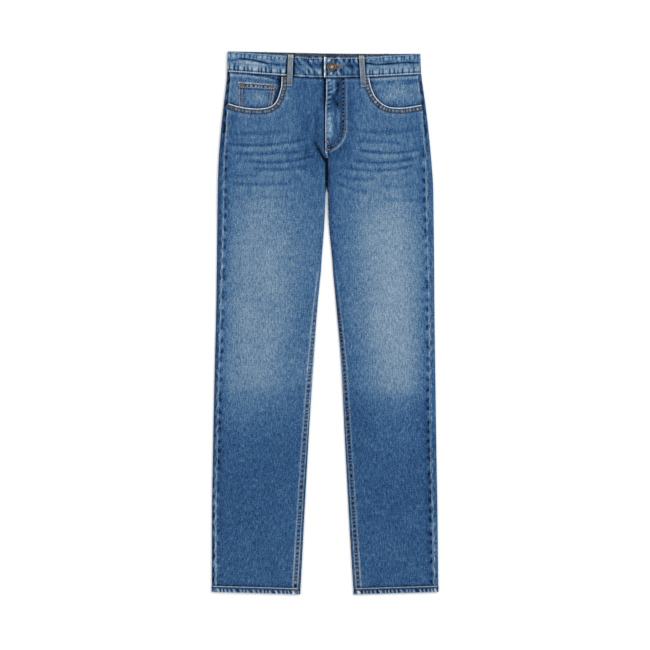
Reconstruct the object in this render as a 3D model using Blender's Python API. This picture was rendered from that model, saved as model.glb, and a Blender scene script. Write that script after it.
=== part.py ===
"""Slim fit five-pocket jeans, laid flat on their back.

Each piece that a maker cuts and sews is its own thin solid wall.  Sizes in this
script are millimetres and become metres when a mesh is made.

The garment lies on the plane z = 0 with its front up: x runs to the viewer's
right, which is the wearer's left, and y runs from the hems to the waistband.
"down" is the distance below the top edge of the waistband.  A half of the
jeans is named by the wearer's side.  "across" is the distance from the middle
line towards the outer edge of a half.
"""
import math
from collections import namedtuple

import bmesh
import bpy
import numpy as np

MM = 0.001

# ---- overall sizes -------------------------------------------------------
LENGTH = 1047.2            # top edge of the waistband to the lower hem edge
SEAM_GAP = 0.3             # clearance between pieces that are sewn together
CLOTH = 1.1                # wall of one layer of denim
LIGHT_CLOTH = 1.0          # wall of the pieces that lie under the front panels

# ---- heights of the layers above the surface ------------------------------
BACK_LIFT = 1.5            # the seat lies on the back pockets and belt loops
TOP_AT_HIP = 6.8           # upper skin of the front panels at the hip
TOP_AT_LEG = 5.6           # upper skin of the front panels on the legs
HIP_END = 250.0            # where the hip starts to thin into the legs
LEG_START = 350.0          # where the legs have their own thickness
LIFT_FADES = 296.0         # where the seat's lift starts to fade
LEGS_REST = 370.0          # where the legs lie on the surface
SHIELD_BASE = 3.0          # lower skin of the fly shield
ZIP_BASE = 4.4             # lower skin of the zip
FACING_TOP = 4.1           # upper skin of the front pocket facings

# ---- where the halves meet in the middle ------------------------------------
FRONTS_MEET = 207.0        # the fronts are sewn together down to here
FRONTS_APART = 225.0       # and have the legs' own inner edges from here
BACKS_MEET = 262.0
BACKS_APART = 285.0

# ---- waistband -------------------------------------------------------------
BAND_WIDTH = 40.0
BAND_WALL = 2.4
BAND_TOP = 7.8             # upper skin of the waistband's front
UNDERLAP_END = 37.0        # x of the end that lies under the buttonhole
OVERLAP_END = -1.8         # x of the end that carries the buttonhole
UNDERLAP_SINK = 1.2
SINK_START_X = -16.0       # the underlap sinks between these two places
SINK_END_X = -3.5
OVERLAP_RISE = 1.5
RISE_END_X = 40.0          # the overlap rises between these two places
RISE_START_X = 66.0
BAND_FOLD_DOWN = {"right": 20.0, "left": 24.0}   # where a fold's x is read
BAND_FLARE = 0.03          # the band's ends widen downwards by this slope
BAND_FLARE_FROM_X = 150.0
BAND_ROWS = (0.0, 7.0, 12.0, 16.5, 22.0, 31.0, BAND_WIDTH)
BAND_RIGHT_COLUMNS = (UNDERLAP_END, 22.0, 8.0, SINK_END_X, -9.5, SINK_START_X, -45.0, -76.0,
                      -105.0, -135.0, -162.0)
BAND_LEFT_COLUMNS = (160.0, 135.0, 105.0, 80.0, RISE_START_X, 57.0, 49.0, RISE_END_X, 24.0,
                     8.0, OVERLAP_END)
BAND_BACK_COLUMNS = 12

# ---- fly, button and pockets ------------------------------------------------
FLY_UNDERLAP = 9.0         # how far the right front runs on under the left
FLY_BOTTOM = 190.0         # lower end of the fly opening
FLY_STEP = 1.4             # how far the right front drops to run under the left
FLY_STEP_START_X = -6.5
FLY_STEP_END_X = -0.5
FLY_STEP_FADES = 198.0     # where the drop starts to fade, below the fly
FLY_STEP_GONE = 212.0
SHIELD_LEFT_X = -18.0
SHIELD_RIGHT_X = 40.0
SHIELD_CUT = 34.0          # how much higher the shield ends at its right edge
SHIELD_CURVE = 2.2         # power of the curve along the shield's lower end
ZIP_GAP = 0.4              # clearance between the zip and the right front's edge
ZIP_WIDTH = 24.0
ZIP_CHAIN = (0.38, 0.62)   # shares of the width between which the chain lies
ZIP_BOTTOM = 166.0
ZIP_BOTTOM_OUTER = 150.0
BUTTON_X = 12.4
BUTTON_DOWN = 30.4
BUTTON_RADIUS = 8.5
BUTTON_SEGMENTS = 32
SHANK_RADIUS = 3.0
EYELET_RADIUS = 3.6
BUTTONHOLE_END_X = 31.0
SLIT_WIDTH = 1.6
EYELET_STEPS = 20
CUT_CLEARANCE = 1.0        # how far the buttonhole's cutter stands out of the band
FACING_TUCK = 12.0         # how far a facing runs on under the front panel
FACING_INNER = 71.0        # inner end of a facing at the waist seam
FACING_CORNER_DOWN = 70.0  # where its inner edge turns to follow the mouth
FACING_OUTER_DOWN = 50.0   # where its outer top corner lies
FACING_SIDE_RISE = 2.6     # it rises to the front's level at the side seam
FACING_SIDE_WIDTH = 20.0
FACING_MOUTH_CLEAR = (5.0, 22.0)   # above the mouth the rise starts and is full
FACING_WAIST_RISE = 1.15   # and it rises to the band at the waist seam
FACING_WAIST_WIDTH = 13.0
COIN_TOP_OUTER = (167.5, 59.0)     # across, down of the coin pocket's corners
COIN_TOP_INNER = (95.0, 64.0)
COIN_LOW_OUTER = (166.0, 117.0)
COIN_LOW_INNER = (103.5, 113.0)
BACK_POCKET_TOP = 128.0
BACK_POCKET_SIDE = 262.0
BACK_POCKET_TIP = 284.0
BACK_POCKET_INNER = 34.0
BACK_POCKET_OUTER = 178.0
BACK_POCKET_TAPER = 8.0
YOKE_AT_BACK_SEAM = 118.0
YOKE_AT_SIDE = 86.0

# ---- hems --------------------------------------------------------------------
HEM_DEPTH = 12.2
HEM_WALL = 2.2
HEM_PROUD = 0.4            # how far a hem stands out of the leg's skin
HEM_RISE = 4.8             # the outer end of a hem lies higher than the inner
HEM_ROWS = (1.0, 0.72, 0.3, 0.0)   # shares of the depth, from the top edge down
HEM_LOWER_COLUMNS = 5
ROPING_COUNT = 19
ROPING_HEIGHT = 0.3
ROPING_SLANT = 0.5         # how many puckers' widths they lean across the hem
ROPING_AT_EDGE = 0.3       # share of their height left at the hem's edges

# ---- belt loops ---------------------------------------------------------------
LOOP_WIDTH = 10.0
LOOP_WALL = 1.6
LOOP_COLUMNS = (-0.5, -0.4, 0.4, 0.5)   # shares of the width
LOOP_EDGE_DROPS = (0.3, 0.0, 0.0, 0.3)  # rounding of the upper skin's edges
BACK_LOOP_WALL = 1.2
BACK_LOOP_TOP = 4.0
BACK_LOOP_BOTTOM = 64.0

# Outline of the laid garment: x of each edge at a distance down.
Outline = namedtuple("Outline", "down right_outer right_inner left_inner left_outer")
OUTLINE = [
    Outline(0.0, -187.5, 0.0, 0.0, 183.0),
    Outline(25.0, -188.7, 0.0, 0.0, 184.4),
    Outline(50.0, -189.4, 0.5, 0.5, 186.2),
    Outline(75.0, -191.9, 0.8, 0.8, 189.6),
    Outline(113.0, -196.6, 1.2, 1.2, 194.9),
    Outline(155.0, -200.8, 1.5, 1.5, 199.6),
    Outline(207.0, -204.9, 1.2, 1.5, 204.6),
    Outline(262.0, -207.0, 1.8, 4.7, 208.4),
    Outline(316.0, -207.7, 0.0, 5.8, 209.3),
    Outline(403.0, -208.7, -6.1, 13.4, 210.4),
    Outline(500.0, -210.1, -15.3, 22.5, 211.1),
    Outline(596.0, -212.4, -22.4, 30.8, 212.3),
    Outline(750.0, -215.8, -31.9, 38.4, 214.4),
    Outline(905.0, -218.2, -40.4, 46.6, 217.0),
    Outline(1000.0, -218.4, -45.4, 52.2, 218.0),
    Outline(1047.2, -218.4, -48.0, 55.2, 218.4),
]

# The seams: how far the side seam lies in from the outer edge, how far the
# inseam lies on the top (positive) or rolls under the inner edge (negative),
# and how round the inner edge is, from 0 at the joined seat to 1 on the legs.
Seams = namedtuple("Seams", "down side_right side_left inseam_turn front_roll back_roll")
SEAMS = [
    Seams(0.0, 6.0, 5.5, 0.0, 0.0, 0.0),
    Seams(100.0, 7.3, 7.0, 0.0, 0.0, 0.0),
    Seams(155.0, 9.8, 9.8, 0.0, 0.0, 0.0),
    Seams(207.0, 12.0, 13.8, 0.0, 0.0, 0.0),
    Seams(235.0, 12.2, 14.6, -3.6, 0.8, 0.0),
    Seams(262.0, 12.2, 14.6, -5.0, 1.0, 0.0),
    Seams(290.0, 12.0, 14.2, -5.0, 1.0, 1.0),
    Seams(470.0, 11.2, 12.2, -4.6, 1.0, 1.0),
    Seams(600.0, 10.2, 12.6, -1.6, 1.0, 1.0),
    Seams(735.0, 9.6, 13.4, 1.6, 1.0, 1.0),
    Seams(905.0, 8.5, 13.0, 1.4, 1.0, 1.0),
    Seams(1047.2, 8.7, 9.8, 0.8, 1.0, 1.0),
]

# Edge of the fly: x of the left front's free edge and of the right front's
# edge, which runs on under it down to the fly's lower end.
Fly = namedtuple("Fly", "down over_edge under_edge")
FLY = [
    Fly(40.0, 2.6, FLY_UNDERLAP),
    Fly(120.0, 2.8, FLY_UNDERLAP),
    Fly(160.0, 2.2, FLY_UNDERLAP),
    Fly(182.0, 1.4, FLY_UNDERLAP),
    Fly(197.0, 1.2, 0.9),
    Fly(207.0, 1.35, 1.05),
]

# Top edge of the waistband, as a distance down, seen on the front and back.
Band = namedtuple("Band", "x front back")
BAND = [
    Band(-188.0, 0.0, 0.0),
    Band(-130.0, 4.0, 0.2),
    Band(-73.6, 7.7, 0.9),
    Band(0.0, 10.9, 2.4),
    Band(69.4, 10.1, 3.4),
    Band(130.0, 7.2, 3.8),
    Band(184.8, 3.7, 3.7),
]

# Opening edge of the front pockets, from the waist seam to the side seam.
Pocket = namedtuple("Pocket", "across down")
POCKET = {"right": [
    Pocket(83.0, 46.0),
    Pocket(83.6, 64.0),
    Pocket(87.7, 81.5),
    Pocket(93.5, 96.0),
    Pocket(101.5, 104.5),
    Pocket(113.5, 109.4),
    Pocket(129.5, 111.0),
    Pocket(149.0, 109.8),
    Pocket(170.0, 105.8),
    Pocket(187.5, 100.4),
], "left": [
    Pocket(84.0, 46.0),
    Pocket(86.0, 60.0),
    Pocket(90.0, 73.5),
    Pocket(96.0, 86.5),
    Pocket(104.5, 96.5),
    Pocket(115.0, 104.2),
    Pocket(129.0, 108.6),
    Pocket(147.0, 109.4),
    Pocket(167.0, 107.0),
    Pocket(186.0, 103.7),
]}

# The largest folds of the fronts: soft troughs and ridges from one place to
# another, each given by across and down at both ends, its half width and its
# height.
FOLD_END_SHARE = 0.35      # share of a fold's height that is left at its ends
Fold = namedtuple("Fold", "side across_a down_a across_b down_b spread height")
FOLDS = [
    Fold("right", 21.0, 172.0, 4.0, 206.0, 7.0, -0.7),
    Fold("right", 48.0, 214.0, 10.0, 232.0, 10.0, -0.6),
    Fold("left", 52.0, 176.0, 14.0, 214.0, 9.0, -0.5),
    Fold("left", 60.0, 226.0, 16.0, 240.0, 11.0, -0.6),
    Fold("right", 66.0, 150.0, 172.0, 166.0, 8.0, -0.6),
    Fold("right", 58.0, 176.0, 160.0, 196.0, 8.0, 0.6),
    Fold("right", 54.0, 205.0, 150.0, 232.0, 9.0, -0.6),
    Fold("left", 62.0, 152.0, 176.0, 158.0, 8.0, -0.6),
    Fold("left", 60.0, 182.0, 168.0, 194.0, 8.0, 0.6),
    Fold("left", 58.0, 210.0, 158.0, 230.0, 9.0, -0.6),
    Fold("right", 88.0, 330.0, 150.0, 420.0, 30.0, 0.5),
    Fold("left", 84.0, 340.0, 150.0, 440.0, 30.0, 0.5),
    Fold("right", 70.0, 560.0, 190.0, 590.0, 16.0, -0.5),
    Fold("left", 66.0, 575.0, 184.0, 560.0, 16.0, -0.5),
]

# Long creases along the waistband's front: x at both ends, distance below the
# band's own top edge at both ends, half width and height.
Crease = namedtuple("Crease", "x_a below_a x_b below_b spread height")
BAND_CREASES = [
    Crease(-186.0, 15.0, -118.0, 17.5, 4.5, -0.6),
    Crease(-118.0, 17.5, -76.0, 18.5, 4.5, -0.5),
    Crease(80.0, 13.5, 182.0, 17.5, 4.5, -0.6),
]

# A front belt loop along its length: distance down from the band's top edge,
# height of its lower skin above the band and of its upper skin.
LoopRow = namedtuple("LoopRow", "down lower upper")
LOOP_ROWS = [
    LoopRow(-0.4, -2.2, -2.2),
    LoopRow(-0.4, 0.0, 0.9),
    LoopRow(0.8, 0.35, 1.9),
    LoopRow(6.0, 0.35, 1.95),
    LoopRow(20.0, 0.9, 2.5),
    LoopRow(34.0, 0.9, 2.5),
    LoopRow(44.5, 0.4, 2.0),
    LoopRow(52.0, -0.6, 1.0),
    LoopRow(58.5, -0.7, 0.9),
]
# x of a front loop at its top and at its lower end, and of a back loop.
FRONT_LOOPS = {"right": (-66.2, -68.5), "left": (70.3, 74.0)}
BACK_LOOPS = {"right": -118.0, "middle": 0.0, "left": 118.0}

# The waist button's head: how far in from its rim and how high above its seat.
Turn = namedtuple("Turn", "inset rise")
BUTTON_PROFILE = [
    Turn(0.8, 0.0),
    Turn(0.0, 0.7),
    Turn(0.0, 1.5),
    Turn(0.7, 2.3),
    Turn(1.7, 2.3),
    Turn(2.6, 1.7),
    Turn(5.5, 1.9),
    Turn(7.1, 2.3),
]

# Levels at which the columns of the panels are read to find where they end.
POCKET_LEVEL = 78.0
BAND_LEVEL = 60.0
YOKE_LEVEL = 100.0
# Distances of the first columns of a panel from its inner edge.
EDGE_STEPS = (0.0, 2.2, 4.4, 7.5, 13.0)
# Places of the other front columns, as shares of the width of the panel.
FRONT_SHARES = (0.2, 0.33, 0.437, 0.447, 0.470, 0.502, 0.545, 0.61, 0.70, 0.80, 0.905, 1.0)
BACK_SHARES = (0.32, 0.66, 1.0)
# First columns of the back, beside the middle seam and past the legs' inseam.
BACK_EDGE_COLUMNS = 4
BACK_EDGE_STEP = 2.0
BACK_FACE_START = 6.0
FOLD_STEPS = 6
YOKE_ROWS = 4
UPPER_ROWS = 4
# Distances down of the rows that the front and the back of a leg share.
LEG_ROWS = (130, 147, 164, 181, 197, 207, 221, 240, 262, 285, 320, 360, 410, 470,
            530, 580, 640, 710, 790, 870, 950, 1000)

Finish = namedtuple("Finish", "colour roughness metallic")
FINISHES = {
    "denim": Finish((0.10, 0.19, 0.32), 0.85, 0.0),
    "facing_denim": Finish((0.16, 0.26, 0.38), 0.85, 0.0),
    "loop_denim": Finish((0.25, 0.28, 0.31), 0.85, 0.0),
    "antique_copper": Finish((0.30, 0.22, 0.16), 0.4, 1.0),
    "zip_metal": Finish((0.35, 0.30, 0.22), 0.45, 1.0),
}
SHARP_ANGLE = 35.0         # edges turn sharp from this many degrees


# ---- curves through the tables ---------------------------------------------------
def through(rows, column, at):
    """Read a table's column on a smooth curve that never overshoots its rows."""
    places = np.array([row[0] for row in rows], dtype=float)
    values = np.array([getattr(row, column) for row in rows], dtype=float)
    steps = np.diff(places)
    slopes = np.diff(values) / steps
    before, after = steps[:-1], steps[1:]
    rising = slopes[:-1] * slopes[1:] > 0.0
    safe = np.where(rising, slopes[:-1] * slopes[1:], 1.0)
    mean = (slopes[:-1] * (before + 2.0 * after) + slopes[1:] * (2.0 * before + after))
    tangent = np.concatenate([slopes[:1], np.zeros(len(slopes) - 1), slopes[-1:]])
    tangent[1:-1] = np.where(rising, 3.0 * (before + after) * safe / np.where(rising, mean, 1.0), 0.0)
    at = np.clip(np.asarray(at, dtype=float), places[0], places[-1])
    k = np.clip(np.searchsorted(places, at, side="right") - 1, 0, len(places) - 2)
    span = steps[k]
    t = (at - places[k]) / span
    return ((2 * t**3 - 3 * t**2 + 1) * values[k] + (t**3 - 2 * t**2 + t) * span * tangent[k]
            + (3 * t**2 - 2 * t**3) * values[k + 1] + (t**3 - t**2) * span * tangent[k + 1])


def eased(value, start, end):
    """Rise smoothly from 0 at start to 1 at end."""
    t = np.clip((np.asarray(value, dtype=float) - start) / (end - start), 0.0, 1.0)
    return t * t * (3.0 - 2.0 * t)


def side_of(side):
    """Sign of x on one half."""
    return -1.0 if side == "right" else 1.0


def edge_across(side, down):
    """Distance of a half's outer edge from the middle line."""
    return side_of(side) * through(OUTLINE, side + "_outer", down)


def band_edge(x, face):
    """Distance down of the waistband's top edge on the front or the back."""
    return through(BAND, face, x)


def waist_seam(x, face):
    """Distance down of the waistband's lower edge."""
    return band_edge(x, face) + BAND_WIDTH


def hem_bottom(side, across):
    """Distance down of a leg's lowest edge, which slants across the leg."""
    inner = abs(through(OUTLINE, side + "_inner", LENGTH))
    outer = abs(through(OUTLINE, side + "_outer", LENGTH))
    return LENGTH - HEM_RISE * np.clip((across - inner) / (outer - inner), 0.0, 1.0)


def pocket_edge(side, across):
    """Distance down of the front pocket's opening edge."""
    return through(POCKET[side], "down", across)


# ---- the flattened tube of a leg and of the seat ------------------------------------
Section = namedtuple("Section", "middle half inner roll flat")


def section(side, face, down, proud=0.0):
    """Middle height, half thickness, inner edge, roll and flat width of a half."""
    down = np.asarray(down, dtype=float)
    lift = BACK_LIFT * (1.0 - eased(down, LIFT_FADES, LEGS_REST))
    top = TOP_AT_LEG + (TOP_AT_HIP - TOP_AT_LEG) * (1.0 - eased(down, HIP_END, LEG_START))
    top = top + 2.0 * proud
    half = 0.5 * (top - lift)
    outer = edge_across(side, down) + proud
    inner = side_of(side) * inner_edge(side, face, down) - proud
    roll = through(SEAMS, face + "_roll", down) * half
    return Section(0.5 * (top + lift), half, inner, roll, outer - half - inner - roll)


def skin(side, face, down, run, depth, proud=0.0):
    """x and height of a point of one half's flattened tube.

    run is measured along the skin from where the inner edge's roll meets the
    face, positive towards the outer edge, round it and back on the other
    face, and negative round the inner edge.  depth moves the point inwards
    through the cloth, and proud moves the whole skin outwards.
    """
    middle, half, inner, roll, flat = section(side, face, down, proud)
    into = np.clip(-run / half, 0.0, math.pi)
    past_inner = np.maximum(-run - math.pi * half, 0.0)
    round_outer = np.clip((run - flat) / half, 0.0, math.pi)
    past_outer = np.maximum(run - flat - math.pi * half, 0.0)
    thin = half - depth
    across = inner + roll + np.clip(run, 0.0, flat) + past_inner - past_outer
    across = across - np.maximum(roll - depth * roll / half, 0.0) * np.sin(into)
    across = across + thin * np.sin(round_outer)
    height = thin * np.cos(into) * np.cos(round_outer)
    if face == "back":
        height = -height
    return side_of(side) * across, middle + height


def inner_edge(side, face, down):
    """x of the inner edge of a face: the fly, the middle seams or the leg."""
    own = through(OUTLINE, side + "_inner", down)
    middle = 0.5 * (through(OUTLINE, "right_inner", down) + through(OUTLINE, "left_inner", down))
    joined = middle + side_of(side) * 0.5 * SEAM_GAP
    if face == "back":
        return joined + (own - joined) * eased(down, BACKS_MEET, BACKS_APART)
    fly_column = "under_edge" if side == "right" else "over_edge"
    fly = through(FLY, fly_column, down)
    return fly + (own - fly) * eased(down, FRONTS_MEET, FRONTS_APART)


def fold_height(side, across, down):
    """Height that the largest folds add to a front panel."""
    total = np.zeros(np.broadcast(across, down).shape)
    for fold in FOLDS:
        if fold.side != side:
            continue
        run_a = fold.across_b - fold.across_a
        run_d = fold.down_b - fold.down_a
        share = ((across - fold.across_a) * run_a + (down - fold.down_a) * run_d)
        share = np.clip(share / (run_a**2 + run_d**2), 0.0, 1.0)
        away = np.hypot(across - fold.across_a - share * run_a, down - fold.down_a - share * run_d)
        fade = FOLD_END_SHARE + (1.0 - FOLD_END_SHARE) * np.sin(math.pi * share)
        total = total + fold.height * fade * np.exp(-(away / fold.spread) ** 2)
    return total


def front_sink(side, x, down):
    """How far the right front drops where it runs under the fly."""
    if side == "left":
        return np.zeros(np.broadcast(x, down).shape)
    beside = eased(x, FLY_STEP_START_X, FLY_STEP_END_X)
    return FLY_STEP * beside * (1.0 - eased(down, FLY_STEP_FADES, FLY_STEP_GONE))


# ---- meshes ------------------------------------------------------------------------
def material(name):
    """A plain material from the table of finishes."""
    values = FINISHES[name]
    finish = bpy.data.materials.new(name)
    finish.use_nodes = True
    shader = finish.node_tree.nodes["Principled BSDF"]
    shader.inputs["Base Color"].default_value = (*values.colour, 1.0)
    shader.inputs["Roughness"].default_value = values.roughness
    shader.inputs["Metallic"].default_value = values.metallic
    return finish


def add_object(name, build, finish):
    """Make an object from a bmesh in millimetres that is built by a function."""
    bm = bmesh.new()
    build(bm)
    bmesh.ops.recalc_face_normals(bm, faces=bm.faces)
    bmesh.ops.scale(bm, vec=(MM, MM, MM), verts=bm.verts)
    mesh = bpy.data.meshes.new(name)
    bm.to_mesh(mesh)
    bm.free()
    mesh.materials.append(finish)
    mesh.shade_smooth()
    mesh.set_sharp_from_angle(angle=math.radians(SHARP_ANGLE))
    item = bpy.data.objects.new(name, mesh)
    bpy.context.scene.collection.objects.link(item)
    return item


def wall(name, outer, inner, finish, ring=False):
    """Close two grids of points, rows by columns, into one thin solid."""
    rows, columns = outer.shape[:2]

    def build(bm):
        skins = []
        for grid in (outer, inner):
            skins.append([[bm.verts.new(point) for point in row] for row in grid])
        last = columns if ring else columns - 1
        for r in range(rows - 1):
            for c in range(last):
                n = (c + 1) % columns
                for verts in skins:
                    bm.faces.new((verts[r][c], verts[r][n], verts[r + 1][n], verts[r + 1][c]))
        for r in (0, rows - 1):
            for c in range(last):
                n = (c + 1) % columns
                bm.faces.new((skins[0][r][c], skins[0][r][n], skins[1][r][n], skins[1][r][c]))
        if not ring:
            for c in (0, columns - 1):
                for r in range(rows - 1):
                    bm.faces.new((skins[0][r][c], skins[0][r + 1][c],
                                  skins[1][r + 1][c], skins[1][r][c]))

    return add_object(name, build, finish)


def points(x, down, z):
    """Join x, distance down and height into a grid of points."""
    shape = np.broadcast(x, down, z).shape
    return np.stack([np.broadcast_to(x, shape),
                     np.broadcast_to(LENGTH / 2.0 - down, shape),
                     np.broadcast_to(z, shape)], axis=-1)


# ---- the panels ----------------------------------------------------------------------
def seam_run(side, down):
    """Run of the side seam along the front, from the inner edge's roll."""
    size = section(side, "front", down)
    return size.flat - (through(SEAMS, "side_" + side, down) - size.half)


def front_runs(side, down):
    """Runs of a front panel's columns: close at the inner edge, then by share."""
    start = through(SEAMS, "inseam_turn", down)
    end = seam_run(side, down) - 0.5 * SEAM_GAP
    columns = [start + step for step in EDGE_STEPS]
    columns += [start + share * (end - start) for share in FRONT_SHARES]
    return columns


def front_panel(side, finish):
    """The front of one leg, cut away at the top along the pocket opening."""
    count = len(EDGE_STEPS) + len(FRONT_SHARES)
    sign = side_of(side)
    tops = []
    for run in front_runs(side, POCKET_LEVEL):
        x = skin(side, "front", POCKET_LEVEL, run, 0.0)[0]
        seam = waist_seam(x, "front") + SEAM_GAP
        inside = sign * x <= POCKET[side][0].across
        tops.append(float(seam if inside else pocket_edge(side, sign * x)))
    tops = np.array(tops)
    down = [tops + (LEG_ROWS[0] - tops) * r / UPPER_ROWS for r in range(UPPER_ROWS)]
    down += [np.full(count, float(row)) for row in LEG_ROWS]
    x_low = np.array([skin(side, "front", LENGTH, run, 0.0)[0] for run in front_runs(side, LENGTH)])
    down.append(hem_bottom(side, sign * x_low) - HEM_DEPTH - SEAM_GAP)
    down = np.array(down)
    run = np.stack([front_runs(side, down[:, c])[c] for c in range(count)], axis=1)
    skins = []
    for depth in (0.0, CLOTH):
        x, z = skin(side, "front", down, run, depth)
        z = z + fold_height(side, sign * x, down) - front_sink(side, x, down)
        skins.append(points(x, down, z))
    return wall("front_" + side, skins[0], skins[1], finish)


def back_runs(side, down):
    """Runs of a back panel's columns, measured on the back face."""
    size = section(side, "back", down)
    half, flat = size.half, size.flat
    roll = through(SEAMS, "back_roll", down)
    start = (SEAM_GAP - math.pi * half - through(SEAMS, "inseam_turn", down)) * roll
    joined = BACK_EDGE_STEP * (1.0 - roll)
    columns = [start * (1.0 - step / BACK_EDGE_COLUMNS) + joined * step
               for step in range(BACK_EDGE_COLUMNS)]
    columns.append(BACK_FACE_START + joined)
    columns += [columns[-1] + share * (flat - columns[-1]) for share in BACK_SHARES]
    columns += [flat + math.pi * half * step / FOLD_STEPS for step in range(1, FOLD_STEPS + 1)]
    inset = through(SEAMS, "side_" + side, down)
    columns.append(flat + math.pi * half + inset - half - 0.5 * SEAM_GAP)
    return columns


def yoke_line(side, x, on_top):
    """Distance down of the seam between the yoke and the back panel."""
    share = np.clip(np.abs(x) / edge_across(side, YOKE_AT_SIDE), 0.0, 1.0)
    line = YOKE_AT_BACK_SEAM + (YOKE_AT_SIDE - YOKE_AT_BACK_SEAM) * share
    return np.where(on_top, YOKE_AT_SIDE, line)


def back_grid(side, down_of_column):
    """Both skins of a piece of the back whose columns start and end as given."""
    count = len(back_runs(side, YOKE_LEVEL))
    down = np.stack([down_of_column(c) for c in range(count)], axis=1)
    run = np.stack([back_runs(side, down[:, c])[c] for c in range(count)], axis=1)
    skins = []
    for depth in (0.0, CLOTH):
        x, z = skin(side, "back", down, run, depth)
        skins.append(points(x, down, z))
    return skins


def back_column(side, c, at):
    """x of a back panel's column and whether it lies on the upper side."""
    x, z = skin(side, "back", at, back_runs(side, at)[c], 0.0)
    return x, z > 0.5 * (TOP_AT_HIP + BACK_LIFT)


def yoke(side, finish):
    """The top piece of a back, from the waist seam to the yoke seam."""
    def column(c):
        x, on_top = back_column(side, c, BAND_LEVEL)
        top = waist_seam(x, "front" if on_top else "back") + SEAM_GAP
        low = yoke_line(side, *back_column(side, c, YOKE_LEVEL)) - 0.5 * SEAM_GAP
        return np.linspace(float(top), float(low), YOKE_ROWS)

    skins = back_grid(side, column)
    return wall("yoke_" + side, skins[0], skins[1], finish)


def back_panel(side, finish):
    """The back of one leg, from the yoke seam to the hem and round to the seams."""
    sign = side_of(side)

    def column(c):
        x, on_top = back_column(side, c, YOKE_LEVEL)
        top = yoke_line(side, x, on_top) + 0.5 * SEAM_GAP
        x_low = back_column(side, c, LENGTH)[0]
        low = hem_bottom(side, sign * x_low) - HEM_DEPTH - SEAM_GAP
        upper = np.linspace(float(top), LEG_ROWS[0], UPPER_ROWS + 1)
        return np.array([*upper, *[float(row) for row in LEG_ROWS[1:]], float(low)])

    skins = back_grid(side, column)
    return wall("back_" + side, skins[0], skins[1], finish)


def hem(side, finish):
    """The turned-up hem, a flat ring with the slanting puckers of roping."""
    sign = side_of(side)
    size = section(side, "front", LENGTH, HEM_PROUD)
    half, flat = size.half, size.flat
    upper = np.linspace(0.0, flat, 2 * ROPING_COUNT + 1)
    outer_fold = flat + math.pi * half * np.arange(1, FOLD_STEPS + 1) / FOLD_STEPS
    lower = flat + math.pi * half + flat * np.arange(1, HEM_LOWER_COLUMNS) / HEM_LOWER_COLUMNS
    inner_fold = -math.pi * half * np.arange(FOLD_STEPS, 0, -1) / FOLD_STEPS
    run = np.concatenate([upper, outer_fold, lower, inner_fold])
    on_top = (run >= 0.0) & (run <= flat)
    skins = []
    for depth in (0.0, HEM_WALL):
        grid = []
        for step in HEM_ROWS:
            x, z = skin(side, "front", LENGTH, run, depth, HEM_PROUD)
            down = hem_bottom(side, sign * x) - HEM_DEPTH * step
            wave = np.cos(2.0 * math.pi * (run / flat * ROPING_COUNT + ROPING_SLANT * step))
            share = 1.0 if 0.0 < step < 1.0 else ROPING_AT_EDGE
            lift = ROPING_HEIGHT * (share * wave - 1.0) * on_top
            grid.append(points(x, down, z + (lift if depth == 0.0 else 0.0)))
        skins.append(np.array(grid))
    return wall("hem_" + side, skins[0], skins[1], finish, ring=True)


# ---- waistband, fly and button -----------------------------------------------------------
def band_crease(x, below):
    """Height that the long creases add to the waistband's front."""
    total = np.zeros(np.broadcast(x, below).shape)
    for crease in BAND_CREASES:
        share = np.clip((x - crease.x_a) / (crease.x_b - crease.x_a), 0.0, 1.0)
        centre = crease.below_a + (crease.below_b - crease.below_a) * share
        away = np.hypot(below - centre, x - crease.x_a - share * (crease.x_b - crease.x_a))
        total = total + crease.height * np.exp(-(away / crease.spread) ** 2)
    return total


def band_height(x, right_end):
    """Upper skin of the waistband's front: it sinks and rises where it laps."""
    if right_end:
        return BAND_TOP - UNDERLAP_SINK * eased(x, SINK_START_X, SINK_END_X)
    return BAND_TOP + OVERLAP_RISE * (1.0 - eased(x, RISE_END_X, RISE_START_X))


def waistband(finish):
    """One strip from the underlap round the back to the buttonhole end."""
    radius = 0.5 * (BAND_TOP - BACK_LIFT)
    middle = 0.5 * (BAND_TOP + BACK_LIFT)
    right_fold = radius - edge_across("right", BAND_FOLD_DOWN["right"])
    left_fold = edge_across("left", BAND_FOLD_DOWN["left"]) - radius
    first = np.array([*BAND_RIGHT_COLUMNS, right_fold])
    back = np.linspace(right_fold, left_fold, BAND_BACK_COLUMNS)
    last = np.array([left_fold, *BAND_LEFT_COLUMNS])
    turn = math.pi * np.arange(1, FOLD_STEPS) / FOLD_STEPS
    on_front = np.concatenate([np.ones(len(first)), 0.5 + 0.5 * np.cos(turn),
                               np.zeros(len(back)), 0.5 - 0.5 * np.cos(turn),
                               np.ones(len(last))])
    creased = on_front == 1.0
    skins = []
    for depth in (0.0, BAND_WALL):
        thin = radius - depth
        x = np.concatenate([first, right_fold - thin * np.sin(turn), back,
                            left_fold + thin * np.sin(turn), last])
        z = np.concatenate([band_height(first, True) - depth,
                            middle + thin * np.cos(turn),
                            np.full(len(back), BACK_LIFT + depth),
                            middle - thin * np.cos(turn),
                            band_height(last, False) - depth])
        edge = band_edge(x, "front") * on_front + band_edge(x, "back") * (1.0 - on_front)
        slope = BAND_FLARE * np.sign(x) * (np.abs(x) > BAND_FLARE_FROM_X)
        skins.append(np.array([points(x + slope * (below - 0.5 * BAND_WIDTH), edge + below,
                                      z + band_crease(x, below) * creased)
                               for below in BAND_ROWS]))
    band = wall("waistband", skins[0], skins[1], finish)
    cut = band.modifiers.new("buttonhole", "BOOLEAN")
    cut.operation = "DIFFERENCE"
    cut.object = buttonhole_cutter(finish)
    return band


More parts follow.
